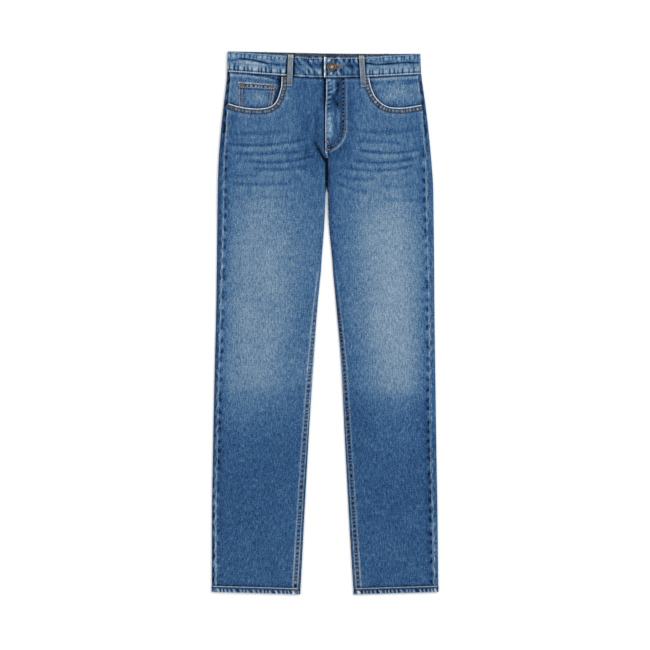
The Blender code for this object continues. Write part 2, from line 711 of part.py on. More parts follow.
def buttonhole_cutter(finish):
    """A keyhole: an eyelet round the button's shank and a slit beside it."""
    low = BAND_TOP - UNDERLAP_SINK + 0.5 * SEAM_GAP
    high = BAND_TOP + OVERLAP_RISE + CUT_CLEARANCE
    start = math.asin(0.5 * SLIT_WIDTH / EYELET_RADIUS)
    angles = np.linspace(start, 2.0 * math.pi - start, EYELET_STEPS)
    outline = [(BUTTON_X + EYELET_RADIUS * math.cos(a), EYELET_RADIUS * math.sin(a))
               for a in angles]
    outline += [(BUTTONHOLE_END_X, -0.5 * SLIT_WIDTH), (BUTTONHOLE_END_X, 0.5 * SLIT_WIDTH)]
    centre_y = LENGTH / 2.0 - BUTTON_DOWN

    def build(bm):
        lower = [bm.verts.new((x, centre_y + y, low)) for x, y in outline]
        upper = [bm.verts.new((x, centre_y + y, high)) for x, y in outline]
        bm.faces.new(lower)
        bm.faces.new(upper)
        for c in range(len(outline)):
            n = (c + 1) % len(outline)
            bm.faces.new((lower[c], lower[n], upper[n], upper[c]))

    cutter = add_object("buttonhole_cutter", build, finish)
    cutter.hide_render = True
    cutter.display_type = "WIRE"
    return cutter


def button(finish):
    """A turned tack button: its shank stands on the underlap in the eyelet."""
    foot = BAND_TOP - UNDERLAP_SINK + SEAM_GAP
    seat = BAND_TOP + OVERLAP_RISE + SEAM_GAP
    profile = [(SHANK_RADIUS, foot), (SHANK_RADIUS, seat)]
    profile += [(BUTTON_RADIUS - turn.inset, seat + turn.rise) for turn in BUTTON_PROFILE]
    angles = 2.0 * math.pi * np.arange(BUTTON_SEGMENTS) / BUTTON_SEGMENTS
    centre_y = LENGTH / 2.0 - BUTTON_DOWN

    def build(bm):
        rings = []
        for radius, height in profile:
            rings.append([bm.verts.new((BUTTON_X + radius * math.cos(a),
                                        centre_y + radius * math.sin(a), height))
                          for a in angles])
        for low, high in zip(rings[:-1], rings[1:]):
            for s in range(BUTTON_SEGMENTS):
                n = (s + 1) % BUTTON_SEGMENTS
                bm.faces.new((low[s], low[n], high[n], high[s]))
        bm.faces.new(rings[0])
        bm.faces.new(rings[-1])

    return add_object("waist_button", build, finish)


def fly_shield(finish):
    """The flap behind the zip, rounded at its lower end."""
    across = np.linspace(SHIELD_LEFT_X, SHIELD_RIGHT_X, 7)
    share = (across - SHIELD_LEFT_X) / (SHIELD_RIGHT_X - SHIELD_LEFT_X)
    top = waist_seam(across, "front") + SEAM_GAP
    low = FLY_BOTTOM - SHIELD_CUT * share**SHIELD_CURVE
    down = top + (low - top) * np.linspace(0.0, 1.0, 5)[:, None]
    x = np.broadcast_to(across, down.shape)
    return wall("fly_shield", points(x, down, SHIELD_BASE + LIGHT_CLOTH),
                points(x, down, SHIELD_BASE), finish)


def fly_zip(finish):
    """The closed zip, kept plain because the fly hides it."""
    x = FLY_UNDERLAP + ZIP_GAP + ZIP_WIDTH * np.array([0.0, *ZIP_CHAIN, 1.0])
    top = waist_seam(x, "front") + SEAM_GAP
    low = np.array([ZIP_BOTTOM, ZIP_BOTTOM, ZIP_BOTTOM, ZIP_BOTTOM_OUTER])
    down = top + (low - top) * np.linspace(0.0, 1.0, 3)[:, None]
    x = np.broadcast_to(x, down.shape)
    return wall("fly_zip", points(x, down, ZIP_BASE + LIGHT_CLOTH), points(x, down, ZIP_BASE),
                finish)


# ---- pockets ----------------------------------------------------------------------------------
def facing_height(side, across, down):
    """Upper skin of a front pocket's facing, which rises to the seams round it."""
    edge = edge_across(side, down) - through(SEAMS, "side_" + side, down)
    mouth = pocket_edge(side, across)
    to_side = eased(across, edge - FACING_SIDE_WIDTH, edge)
    to_side = to_side * eased(mouth - down, *FACING_MOUTH_CLEAR)
    below = down - waist_seam(side_of(side) * across, "front")
    to_waist = 1.0 - eased(below, 0.0, FACING_WAIST_WIDTH)
    return FACING_TOP + np.maximum(FACING_SIDE_RISE * to_side, FACING_WAIST_RISE * to_waist)


def facing_edge(side, down):
    """Distance of a facing's outer edge from the middle line."""
    return edge_across(side, down) - through(SEAMS, "side_" + side, down) - SEAM_GAP


def pocket_facing(side, finish):
    """The cloth seen in the pocket's mouth, tucked under the front panel."""
    sign = side_of(side)
    curve = np.array([[row.across, row.down] for row in POCKET[side][1:]])
    along = np.gradient(curve, axis=0)
    along /= np.linalg.norm(along, axis=1)[:, None]
    low_across = curve[:, 0] - FACING_TUCK * along[:, 1]
    low_down = curve[:, 1] + FACING_TUCK * along[:, 0]
    low_across[0] = FACING_INNER
    low_down[0] = FACING_CORNER_DOWN
    outer = facing_edge(side, FACING_OUTER_DOWN)
    top_across = np.linspace(FACING_INNER, float(outer), len(curve))
    low_across[-1] = facing_edge(side, low_down[-1])
    steps = np.linspace(0.0, 1.0, 7)[:, None]
    across = top_across + (low_across - top_across) * steps
    top_down = waist_seam(sign * top_across, "front") + SEAM_GAP
    down = top_down + (low_down - top_down) * steps
    across[:, -1] = facing_edge(side, down[:, -1])
    top = facing_height(side, across, down)
    return wall("pocket_facing_" + side, points(sign * across, down, top),
                points(sign * across, down, top - LIGHT_CLOTH), finish)


def coin_pocket(finish):
    """The small fifth pocket, made from the facing's points, moved out."""
    v = np.linspace(0.0, 1.0, 5)[:, None]
    u = np.linspace(0.0, 1.0, 6)[None, :]
    corners = [np.array(c) for c in (COIN_TOP_INNER, COIN_TOP_OUTER, COIN_LOW_INNER,
                                     COIN_LOW_OUTER)]
    across = ((1 - v) * ((1 - u) * corners[0][0] + u * corners[1][0])
              + v * ((1 - u) * corners[2][0] + u * corners[3][0]))
    down = ((1 - v) * ((1 - u) * corners[0][1] + u * corners[1][1])
            + v * ((1 - u) * corners[2][1] + u * corners[3][1]))
    base = facing_height("right", across, down) + SEAM_GAP
    return wall("coin_pocket", points(-across, down, base + LIGHT_CLOTH),
                points(-across, down, base), finish)


def back_pocket(side, finish):
    """A five-cornered patch pocket that the seat lies on."""
    sign = side_of(side)
    share = np.linspace(0.0, 1.0, 5)
    tip = BACK_POCKET_TIP - (BACK_POCKET_TIP - BACK_POCKET_SIDE) * np.abs(2.0 * share - 1.0)
    steps = np.linspace(0.0, 1.0, 4)[:, None]
    down = BACK_POCKET_TOP + (tip - BACK_POCKET_TOP) * steps
    middle = 0.5 * (BACK_POCKET_INNER + BACK_POCKET_OUTER)
    half_width = 0.5 * (BACK_POCKET_OUTER - BACK_POCKET_INNER) - BACK_POCKET_TAPER * steps
    across = middle + half_width * (2.0 * share - 1.0)
    top = BACK_LIFT - SEAM_GAP
    return wall("back_pocket_" + side, points(sign * across, down, 0.0),
                points(sign * across, down, top), finish)


# ---- belt loops ------------------------------------------------------------------------------
def front_loop(side, finish):
    """A belt loop that folds over the band's edge, bridges it and is tacked below."""
    top_x, low_x = FRONT_LOOPS[side]
    down = np.array([row.down for row in LOOP_ROWS])
    share = (down - down[0]) / (down[-1] - down[0])
    x = (top_x + (low_x - top_x) * share)[:, None] + LOOP_WIDTH * np.array(LOOP_COLUMNS)
    base = band_height(x, side == "right")
    down = np.broadcast_to((band_edge(top_x, "front") + down)[:, None], x.shape)
    skins = []
    for column, shift, drops in (("upper", LOOP_WALL, LOOP_EDGE_DROPS), ("lower", 0.0, 0.0)):
        height = np.array([getattr(row, column) for row in LOOP_ROWS])[:, None]
        folded = down.copy()
        folded[:2] -= shift
        skins.append(points(x, folded, base + height - drops))
    return wall("belt_loop_front_" + side, skins[0], skins[1], finish)


def back_loop(place, finish):
    """A belt loop under the back of the band: the garment rests on it."""
    x = BACK_LOOPS[place] + LOOP_WIDTH * np.array([-0.5, 0.5])
    down = np.linspace(BACK_LOOP_TOP, BACK_LOOP_BOTTOM, 3)[:, None]
    return wall("belt_loop_back_" + place, points(x, down, 0.0),
                points(x, down, BACK_LOOP_WALL), finish)


def build_jeans():
    """Make every piece in an empty scene."""
    for item in list(bpy.data.objects):
        bpy.data.objects.remove(item, do_unlink=True)
    denim, facing_denim, loop_denim, copper, zip_metal = (material(name) for name in FINISHES)
    for side in ("right", "left"):
        front_panel(side, denim)
        back_panel(side, denim)
        yoke(side, denim)
        hem(side, denim)
        pocket_facing(side, facing_denim)
        back_pocket(side, denim)
        front_loop(side, loop_denim)
    for place in BACK_LOOPS:
        back_loop(place, loop_denim)
    coin_pocket(facing_denim)
    waistband(denim)
    button(copper)
    fly_shield(denim)
    fly_zip(zip_metal)


build_jeans()
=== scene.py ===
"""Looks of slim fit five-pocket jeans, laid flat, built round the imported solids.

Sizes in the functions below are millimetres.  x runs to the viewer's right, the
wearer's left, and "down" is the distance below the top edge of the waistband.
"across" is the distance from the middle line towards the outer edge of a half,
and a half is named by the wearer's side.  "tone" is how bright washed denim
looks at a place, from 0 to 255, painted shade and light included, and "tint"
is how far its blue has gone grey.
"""
import math
from collections import namedtuple

import bpy
import numpy as np
from bpy.props import FloatProperty, FloatVectorProperty, PointerProperty
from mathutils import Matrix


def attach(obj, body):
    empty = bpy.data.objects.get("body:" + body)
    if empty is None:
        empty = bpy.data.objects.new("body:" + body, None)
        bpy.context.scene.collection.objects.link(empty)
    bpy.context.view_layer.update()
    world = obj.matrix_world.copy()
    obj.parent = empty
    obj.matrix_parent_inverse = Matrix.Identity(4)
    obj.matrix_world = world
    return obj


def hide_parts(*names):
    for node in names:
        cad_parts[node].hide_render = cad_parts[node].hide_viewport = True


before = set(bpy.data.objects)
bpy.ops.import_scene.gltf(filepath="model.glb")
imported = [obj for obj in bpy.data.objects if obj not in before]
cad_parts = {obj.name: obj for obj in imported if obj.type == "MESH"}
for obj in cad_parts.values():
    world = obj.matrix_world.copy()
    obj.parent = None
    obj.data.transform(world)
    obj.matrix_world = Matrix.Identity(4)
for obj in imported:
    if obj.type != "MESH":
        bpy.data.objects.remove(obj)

bl_info = {
    "name": "Slim fit jeans",
    "version": (1, 0, 0),
    "blender": (4, 5, 0),
    "location": "View3D > Sidebar > Jeans",
    "description": "Washed denim, stitching and fittings of jeans laid flat",
    "category": "Object",
}

MM = 0.001
LENGTH = 1047.2
SEAM_GAP = 0.3
CLOTH = 1.1
LIGHT_CLOTH = 1.0
BACK_LIFT = 1.5
TOP_AT_HIP = 6.8
TOP_AT_LEG = 5.6
HIP_END = 250.0
LEG_START = 350.0
LIFT_FADES = (296.0, 370.0)
SHIELD_BASE = 3.0
ZIP_BASE = 4.4
FACING_TOP = 4.1
BAND_WIDTH = 40.0
BAND_WALL = 2.4
BAND_TOP = 7.8
UNDERLAP_END = 37.0
OVERLAP_END = -1.8
UNDERLAP_SINK = 1.2
OVERLAP_RISE = 1.5
FLY_UNDERLAP = 9.0
BUTTON_X = 12.4
BUTTON_DOWN = 30.4
BUTTON_BELOW = 19.6
BUTTON_RADIUS = 8.5
SHANK_RADIUS = 3.0
EYELET_RADIUS = 3.6
BUTTONHOLE_END_X = 31.0
SLIT_WIDTH = 1.6
SLIT_TURN = math.asin(0.5 * SLIT_WIDTH / EYELET_RADIUS)
CUT_LEVELS = (6.75, 10.6)
FACING_TUCK = 12.0
FACING_INNER = 71.0
COIN_CORNERS = np.array([(95.0, 64.0), (167.5, 59.0), (103.5, 113.0), (166.0, 117.0)])
COIN_WIDE = 68.0
COIN_HIGH = 55.0
MOUTH_STEP = 1.6
LAP_TOP = 130.0
LAP_END = 216.0
BACK_POCKET = {"top": 128.0, "side": 262.0, "tip": 284.0, "inner": 34.0, "outer": 178.0, "taper": 8.0}
YOKE_AT_BACK_SEAM = 118.0
YOKE_AT_SIDE = 86.0
BACK_CELL = 5.0
FRONT_ABOVE = 4.15
HEM_DEPTH = 12.2
HEM_WALL = 2.2
HEM_PROUD = 0.4
HEM_RISE = 4.8
ROPING_COUNT = 19
LOOP_WIDTH = 10.0
LOOP_WALL = 1.6
LOOP_LENGTH = 58.9
LOOP_SHADE_LENGTH = 58.0
BACK_LOOP_WALL = 1.2
FRONT_LOOPS = {"right": (-66.2, -68.5), "left": (70.3, 74.0)}
BACK_LOOPS = {"right": -118.0, "middle": 0.0, "left": 118.0}
SIDES = ("right", "left")
SIGN = {"right": -1.0, "left": 1.0}
BROWN, TAN, CREAM = 70.0, 150.0, 215.0


def table(fields, rows):
    """Rows of numbers that are read by name."""
    kind = namedtuple("Row", fields)
    return [kind(*row) for row in rows]


def tables(fields, rows_by_key):
    """One table for each key, all read by the same names."""
    return {key: table(fields, rows) for key, rows in rows_by_key.items()}


# How wear differs between the halves: seed moves the noise, and the rest are tones
# of the knee, the inseam's rows and puckers, the shade beside the fly, the side
# seam's ridge, the cloth outside it at the top and how much more it wears below,
# the same seam from the back, the pocket's facing, the puckers of its mouth, the
# hem, and how far a loop's grey fades towards its lower end.
Half = namedtuple("Half", "seed knee inseam_pale inseam_dark inner_shade ridge outside worn_low "
                          "back_seam facing mouth_pucker hem loop_fade")
HALVES = {"right": Half(0, 4, 50, 4, 2, 74, 14, 1, 21, 100, 38, 75, 0.08),
          "left": Half(1, -4, 40, 22, 26, 56, 6, 0, 2, 101, 50, 66, 0.3)}

OUTLINE = table("down right_outer right_inner left_inner left_outer", [
    (0, -187.5, 0, 0, 183), (25, -188.7, 0, 0, 184.4), (50, -189.4, 0.5, 0.5, 186.2),
    (75, -191.9, 0.8, 0.8, 189.6), (113, -196.6, 1.2, 1.2, 194.9), (155, -200.8, 1.5, 1.5, 199.6),
    (207, -204.9, 1.2, 1.5, 204.6), (262, -207, 1.8, 4.7, 208.4), (316, -207.7, 0, 5.8, 209.3),
    (403, -208.7, -6.1, 13.4, 210.4), (500, -210.1, -15.3, 22.5, 211.1),
    (596, -212.4, -22.4, 30.8, 212.3), (750, -215.8, -31.9, 38.4, 214.4),
    (905, -218.2, -40.4, 46.6, 217), (1000, -218.4, -45.4, 52.2, 218),
    (1047.2, -218.4, -48, 55.2, 218.4),
])
SEAMS = table("down side_right side_left inseam_turn front_roll back_roll", [
    (0, 6, 5.5, 0, 0, 0), (100, 7.3, 7, 0, 0, 0), (155, 9, 8.6, 0, 0, 0), (207, 9.3, 9.4, 0, 0, 0),
    (235, 9.6, 11, -3.6, 0.8, 0), (262, 10, 12, -5, 1, 0), (290, 10.3, 12, -6, 1, 1),
    (400, 9.4, 10.6, -8, 1, 1), (470, 7.8, 9.3, -6.2, 1, 1), (600, 7.2, 9.3, -3.4, 1, 1),
    (735, 6.7, 9.8, -1, 1, 1), (905, 6.5, 8.5, 0.8, 1, 1), (1047.2, 7.4, 7.3, 1.6, 1, 1),
])
FLY = table("down over_edge under_edge", [
    (40, 2.4, FLY_UNDERLAP), (85, 2.2, FLY_UNDERLAP), (112, 0.7, FLY_UNDERLAP),
    (160, 0.5, FLY_UNDERLAP), (182, 0.7, FLY_UNDERLAP), (197, 1, 0.7), (207, 1.35, 1.05),
])
BAND = table("x front back", [
    (-188, 0, 0), (-130, 4, 1), (-73.6, 7.7, 2.2), (0, 10.9, 3.8), (69.4, 10.1, 4.5),
    (130, 7.4, 4.7), (184.8, 4.4, 4.4),
])
POCKET = tables("across down", {
    "right": [
        (83, 46), (83.6, 64), (87.7, 81.5), (93.5, 96), (101.5, 104.5), (113.5, 109.4), (129.5, 111),
        (149, 109.8), (170, 105.8), (187.5, 100.4),
    ],
    "left": [
        (84, 46), (86, 60), (90, 73.5), (96, 86.5), (104.5, 96.5), (115, 104.2), (129, 108.6),
        (147, 109.4), (167, 107), (186, 103.7),
    ],
})
# The two rows of stitching that hold the fly's facing, curving to the middle.
FLY_ROWS = tables("across down", {
    "outer": [(38.8, 51.5), (38.6, 100), (38.2, 146), (35.5, 163), (28, 177), (16, 187), (3.5, 191.6)],
    "inner": [(31.4, 51.5), (31.2, 100), (30.8, 143), (28.4, 157), (22.5, 169.5), (13.5, 179.5),
              (5, 186)],
})
FOLDS = tables("across_a down_a across_b down_b spread height", {
    "right": [
        (21, 172, 4, 206, 7, -0.7), (48, 214, 10, 232, 10, -0.6), (66, 150, 172, 166, 8, -0.6),
        (58, 176, 160, 196, 8, 0.6), (54, 205, 150, 232, 9, -0.6), (88, 330, 150, 420, 30, 0.5),
        (70, 560, 190, 590, 16, -0.5),
    ],
    "left": [
        (52, 176, 14, 214, 9, -0.5), (60, 226, 16, 240, 11, -0.6), (62, 152, 176, 158, 8, -0.6),
        (60, 182, 168, 194, 8, 0.6), (58, 210, 158, 230, 9, -0.6), (84, 340, 150, 440, 30, 0.5),
        (66, 575, 184, 560, 16, -0.5),
    ],
})
BAND_CREASES = table("x_a below_a x_b below_b spread height", [
    (-186, 15, -118, 17.5, 4.5, -0.6), (-118, 17.5, -76, 18.5, 4.5, -0.5),
    (80, 13.5, 182, 17.5, 4.5, -0.6),
])
# A front loop's two skins down its length, the first two rows being its upper end.
LOOP_ROWS = np.array([(-0.4, -2.2, -2.2), (-0.4, 0, 0.9), (0.8, 0.35, 1.9), (6, 0.35, 1.95),
                      (20, 0.9, 2.5), (34, 0.9, 2.5), (44.5, 0.4, 2), (52, -0.6, 1), (58.5, -0.7, 0.9)])
# How the wash fades along the leg: the tone of the cloth that was left alone,
# and how strong the hand-sanded fade on the thigh is.
FADE = table("down base thigh", [
    (40, 90, 0.05), (120, 85, 0.18), (210, 84, 0.32), (270, 85, 0.55), (330, 87, 0.85), (400, 88, 1),
    (600, 86, 0.98), (640, 84, 0.82), (670, 80, 0.42), (710, 77, 0.2), (770, 75.5, 0.07),
    (860, 76, 0), (1047, 80, 0),
])
# The sanded fade across a leg, from the inseam at 0 to the side seam at 1.
ACROSS = table("share right left", [
    (0, 0.1, -0.12), (0.12, 0.24, 0.1), (0.28, 0.54, 0.5), (0.42, 0.85, 0.84), (0.56, 0.99, 0.99),
    (0.7, 1, 1), (0.82, 0.8, 0.7), (0.92, 0.48, 0.38), (1, 0.28, 0.25),
])
# Lines worn into the lap: three places along each, its half width and how dark.
WHISKERS = tables("across_a down_a across_b down_b across_c down_c spread dark", {
    "right": [
        (181, 158, 125, 158, 68, 153, 4, 8), (183, 179, 115, 180.5, 36, 169, 2.8, 19),
        (176, 196.5, 110, 197, 46, 192.5, 3, 14), (151, 211, 100, 214, 22, 201.5, 2.4, 16),
        (140, 225, 98, 227.8, 34, 221.5, 3.2, 14), (190, 238, 165, 240.5, 130, 238, 3.4, 9),
        (180, 254.4, 125, 257, 64, 254, 3.4, 12), (125, 280.5, 100, 281.5, 70, 279, 2.8, 8),
    ],
    "left": [
        (56, 151, 110, 156, 180, 150, 4.2, 10), (54, 175, 104, 173.5, 150, 177.5, 3.4, 11),
        (64, 190, 122, 195.8, 180, 189.5, 2.6, 19), (54, 210.5, 118, 214, 172, 206.5, 2.6, 16),
        (36, 223.5, 100, 229.5, 172, 219, 2.8, 16), (30, 241, 58, 246.5, 104, 244, 3.4, 10),
        (22, 254, 50, 264.5, 86, 272, 3.4, 12), (112, 259, 140, 261.5, 172, 258, 3.2, 9),
        (110, 285, 145, 287.5, 180, 285, 3, 7),
    ],
})
# Small folds and worn patches: both ends of a line, its half width, what it adds
# to the tone and how high it stands.  Where a fold darkens or lightens the tone,
# that is painted shade and painted light, and the dark lines beside the belt loops
# and at the crotch are painted shadow.  "start" is the band up to the lap.
MARKS = "x_a down_a x_b down_b spread tone height"
FRONT_MARKS = tables(MARKS, {
    "right": [
        (19.5, 175, 11, 191, 2.2, -46, -0.2), (13.5, 187, 3, 205.5, 1.9, -84, -0.3),
        (3.5, 204, -2, 214, 2.4, -110, -0.2), (22, 172, 14, 188, 5, -14, -0.1),
        (14.5, 112, 17, 172, 4, -22, -0.25), (24, 118, 25.5, 168, 3.6, 9, 0.15),
        (38, 184, 36, 200, 5, -20, -0.2), (34, 125, 37, 152, 6, -10, -0.15),
        (8, 190, 22, 232, 9, -8, 0),
        (76.5, 72, 71.5, 92, 2.2, 36, 0.15), (72, 74, 68, 84, 2.4, -22, -0.1),
        (62.2, 50, 62.8, 66, 1.6, -60, 0), (63.5, 68.2, 73, 68.2, 1.2, -42, 0),
    ],
    "left": [
        (67.4, 52, 68.3, 68, 1.8, -84, 0), (80.2, 52, 80.6, 68, 1.6, -60, 0),
        (69.5, 70.2, 79, 70.2, 1.2, -46, 0), (8, 56, 14.5, 68, 3, 46, 0.1),
        (17.4, 56, 17.8, 80, 1.8, 78, 0.15), (25.5, 56, 23, 84, 4.2, -58, -0.3),
        (11, 80, 24, 70, 2.2, 60, 0.2), (16, 86, 24, 106, 4.4, -56, -0.3),
        (20, 112, 22, 160, 3.4, -13, -0.2), (9.5, 118, 8.5, 168, 5.4, 82, 0.25),
        (26, 120, 25, 150, 2, 14, 0.1), (5, 194, 22, 196, 6, -24, -0.2),
        (24, 190, 42, 182, 5, -12, -0.1),
        (46, 62, 50, 150, 6, -9, -0.1), (6, 214, 20, 250, 9, -9, 0),
    ],
})
BAND_MARKS = tables(MARKS, {
    "start": [
        (-187, 17, -164, 14.8, 1.5, -56, 0), (-166, 12, -137, 13.4, 1.4, -140, -0.1),
        (-139, 13.3, -112, 18, 1.5, -145.6, -0.1), (-152, 27, -118, 28, 5.5, 19.6, 0),
        (-174.5, 23, -174, 35, 2.4, -70, -0.2), (-114.5, 25, -113.5, 36, 1.8, -84, -0.2),
        (-108, 23, -107.5, 36, 1.8, -70, -0.2), (-114, 17.8, -74, 19.6, 2.8, -70, 0),
        (-168, 17.2, -112, 21.2, 2.2, 53.2, 0), (-186, 8, -170, 9, 2.4, 19.6, 0.1),
        (-150, 6, -128, 8.5, 1.7, -30.8, -0.15), (-112, 9, -92, 11, 1.6, -28, -0.15),
        (-58, 15.5, -40, 17, 2.6, -36.4, -0.2), (-36.4, 1.5, -31.8, 11.6, 3, -47.6, -0.25),
        (-33, 6.9, -18, 10.9, 2, 42, 0.3), (-34.8, 15.3, -14.6, 21.7, 3.4, -47.6, -0.3),
        (-28, 2.4, -12, 5.4, 1.6, -36.4, -0.2), (-57, 27.5, -44, 27, 4.4, 22.4, 0.1),
        (-38.5, 24.5, -37, 37, 1.9, -61.6, -0.35), (-34.2, 26, -34, 36, 1.3, 28, 0.2),
        (-31, 24.5, -30.4, 37, 1.7, -61.6, -0.3), (-21.7, 26.5, -21.9, 34, 1.9, -44.8, -0.3),
        (-15.5, 29, -8, 29.8, 3.6, 36.4, 0.15), (-11, 13, -5, 16, 2.8, -42, -0.2),
    ],
    "lap": [
        (4.5, 9, 8.6, 5, 2.1, 47.6, 0.2), (5.1, 26, 6.5, 30, 2.4, 42, 0.2),
        (17.6, 3.5, 19, 10.5, 1.9, -64.4, -0.3), (21.4, 25, 22, 35.5, 1.7, -64.4, -0.3),
        (25.6, 23.5, 26, 33, 1.5, 42, 0.2), (30, 22.5, 31.4, 33, 1.8, -61.6, -0.3),
        (24, 3, 25, 10, 1.5, 25.2, 0.15), (29.3, 2.3, 30, 9.6, 1.9, 42, 0.2),
        (35.6, 3.5, 36.6, 12, 1.8, -47.6, -0.25), (41.6, 3.5, 42, 10.5, 1.8, 36.4, 0.2),
        (46.2, 2.5, 47.4, 11.5, 1.7, -44.8, -0.25), (51, 4, 51.4, 10.5, 1.6, 30.8, 0.15),
        (55.4, 3, 56, 11, 1.6, -39.2, -0.2), (59.6, 3, 60, 10, 1.5, 25.2, 0.15),
        (37, 28, 53, 28.5, 4.4, 21, 0.1), (34, 17, 62, 18.5, 2.6, -28, -0.15),
        (79, 13, 102, 17.2, 1.4, -134.4, 0), (102, 17.2, 147, 15.4, 1.4, -126, 0),
        (147, 15.4, 183, 17.4, 1.4, -120.4, 0), (84, 19, 160, 24, 2.4, 22.4, 0),
        (84, 8, 98, 9.5, 1.6, -28, -0.15), (108, 10, 124, 12, 1.6, -25.2, -0.15),
    ],
})
FACING_MARKS = tables(MARKS, {
    "right": [(144, 44.5, 110, 49, 1.8, -64, 0), (114, 48.6, 84, 54.2, 2.1, -92, 0),
              (138, 49.2, 92, 57, 1.9, 30, 0)],
    "left": [],
})


# ---- curves and noise -----------------------------------------------------------
def smooth(places, values, at):
    """Cubic curve through values at places whose slopes never overshoot."""
    steps = np.diff(places)
    slopes = np.diff(values) / steps
    before, after = steps[:-1], steps[1:]
    rising = slopes[:-1] * slopes[1:] > 0
    safe = np.where(rising, slopes[:-1] * slopes[1:], 1.0)
    mean = slopes[:-1] * (before + 2 * after) + slopes[1:] * (2 * before + after)
    tangent = np.concatenate([slopes[:1], np.zeros(len(slopes) - 1), slopes[-1:]])
    tangent[1:-1] = np.where(rising, 3 * (before + after) * safe / np.where(rising, mean, 1.0), 0.0)
    at = np.clip(np.asarray(at, dtype=float), places[0], places[-1])
    k = np.clip(np.searchsorted(places, at, side="right") - 1, 0, len(places) - 2)
    t = (at - places[k]) / steps[k]
    return ((2 * t**3 - 3 * t**2 + 1) * values[k] + (t**3 - 2 * t**2 + t) * steps[k] * tangent[k]
            + (3 * t**2 - 2 * t**3) * values[k + 1] + (t**3 - t**2) * steps[k] * tangent[k + 1])


def through(rows, column, at):
    """Read a table's column at places of its first column on a smooth curve."""
    places = np.array([row[0] for row in rows], dtype=float)
    return smooth(places, np.array([getattr(row, column) for row in rows], dtype=float), at)


def path_through(rows, step):
    """Points about a step apart on the smooth curve through a table of pairs."""
    pairs = np.array(rows, dtype=float)
    chord = np.concatenate([[0.0], np.cumsum(np.hypot(*np.diff(pairs, axis=0).T))])
    fine = np.linspace(0, chord[-1], int(chord[-1] * 4))
    curve = np.stack([smooth(chord, pairs[:, k], fine) for k in (0, 1)], axis=1)
    length = np.concatenate([[0.0], np.cumsum(np.hypot(*np.diff(curve, axis=0).T))])
    even = np.linspace(0, length[-1], int(length[-1] / step) + 1)
    return np.stack([np.interp(even, length, curve[:, k]) for k in (0, 1)], axis=1)


def eased(value, start, end):
    """Rise smoothly from 0 at start to 1 at end."""
    t = np.clip((np.asarray(value, dtype=float) - start) / (end - start), 0, 1)
    return t * t * (3 - 2 * t)


def waned(value, start, end):
    """Fall smoothly from 1 at start to 0 at end."""
    return 1 - eased(value, start, end)


def between(value, rise, fall):
    """Rise from 0 to 1 over one span of values and fall back over another."""
    return eased(value, *rise) * waned(value, *fall)


def bump(value, centre, spread):
    """A soft bump: 1 at the centre and near 0 beyond two spreads from it."""
    return np.exp(-((np.asarray(value, dtype=float) - centre) / spread) ** 2)


def bumps(value, *rows):
    """Sum of soft bumps, each given by its amount, its centre and its spread."""
    return sum(amount * bump(value, centre, spread) for amount, centre, spread in rows)


def lattice(i, j, seed):
    """The same number from -1 to 1 for a lattice point on every run."""
    h = (i * 374761393 + j * 668265263 + seed * 974634777) & 0xFFFFFFFF
    h = ((h ^ (h >> 13)) * 1274126177) & 0xFFFFFFFF
    return ((h ^ (h >> 16)) & 0xFFFFFF) / 0x7FFFFF - 1.0


def noise(x, y, seed):
    """Smooth noise from -1 to 1: lattice numbers blended by eased shares."""
    x, y = np.broadcast_arrays(np.asarray(x, dtype=float), np.asarray(y, dtype=float))
    i, j = np.floor(x).astype(np.int64), np.floor(y).astype(np.int64)
    u, v = eased(x - i, 0, 1), eased(y - j, 0, 1)
    low, high = (lattice(i, row, seed) * (1 - u) + lattice(i + 1, row, seed) * u for row in (j, j + 1))
    return low * (1 - v) + high * v


def ripple(at, period, seed):
    """Uneven waves from -1 to 1 along a seam: a sine whose phase wanders."""
    at = np.asarray(at, dtype=float)
    phase = at / period + 0.45 * noise(at / (1.7 * period), 0, seed)
    return np.sin(2 * math.pi * phase) * (0.75 + 0.25 * noise(at / (3.1 * period), 5, seed))


def pulses(at, period, width, seed):
    """Separate soft bumps along a seam, uneven in place and strength."""
    cell = np.floor(at / period).astype(np.int64)
    total = 0.0
    for near in (cell - 1, cell, cell + 1):
        centre = (near + 0.5 + 0.3 * lattice(near, seed, 3)) * period
        total = total + (0.78 + 0.22 * lattice(near, seed, 4)) * bump(at, centre, width)
    return total


def away_from(path, across, down):
    """Shortest distance from each place to the points of a path."""
    across, down = np.broadcast_arrays(across, down)
    flat = np.stack([across.ravel(), down.ravel()], axis=1)
    nearest = np.full(len(flat), np.inf)
    for part in np.array_split(path, max(len(path) // 40, 1)):
        gap = np.hypot(flat[:, None, 0] - part[None, :, 0], flat[:, None, 1] - part[None, :, 1])
        nearest = np.minimum(nearest, gap.min(axis=1))
    return nearest.reshape(across.shape)


def line_share(across, down, ends):
    """Share along a straight line and distance from it."""
    a, b, c, d = ends
    share = ((across - a) * (c - a) + (down - b) * (d - b)) / ((c - a) ** 2 + (d - b) ** 2)
    share = np.clip(share, 0, 1)
    return share, np.hypot(across - a - share * (c - a), down - b - share * (d - b))


# ---- the garment's lines ----------------------------------------------------------
def edge_across(side, down):
    """Distance of a half's outer edge from the middle line."""
    return SIGN[side] * through(OUTLINE, side + "_outer", down)


def seam_across(side, down):
    """Distance of a half's side seam, which lies on the front, from the middle line."""
    return edge_across(side, down) - through(SEAMS, "side_" + side, down)


def band_edge(x, face):
    """Distance down of the waistband's top edge, which dips towards the middle."""
    return through(BAND, face, x)


def waist_seam(x, face):
    """Distance down of the seam that joins the waistband to the cloth below."""
    return band_edge(x, face) + BAND_WIDTH


def below_waist(side, across, down):
    """Distance below the waist seam on the front."""
    return down - waist_seam(SIGN[side] * across, "front")


def hem_bottom(side, across):
    """Distance down of a leg's lowest edge, which slants across the leg."""
    inner, outer = (abs(through(OUTLINE, side + edge, LENGTH)) for edge in ("_inner", "_outer"))
    return LENGTH - HEM_RISE * np.clip((across - inner) / (outer - inner), 0, 1)


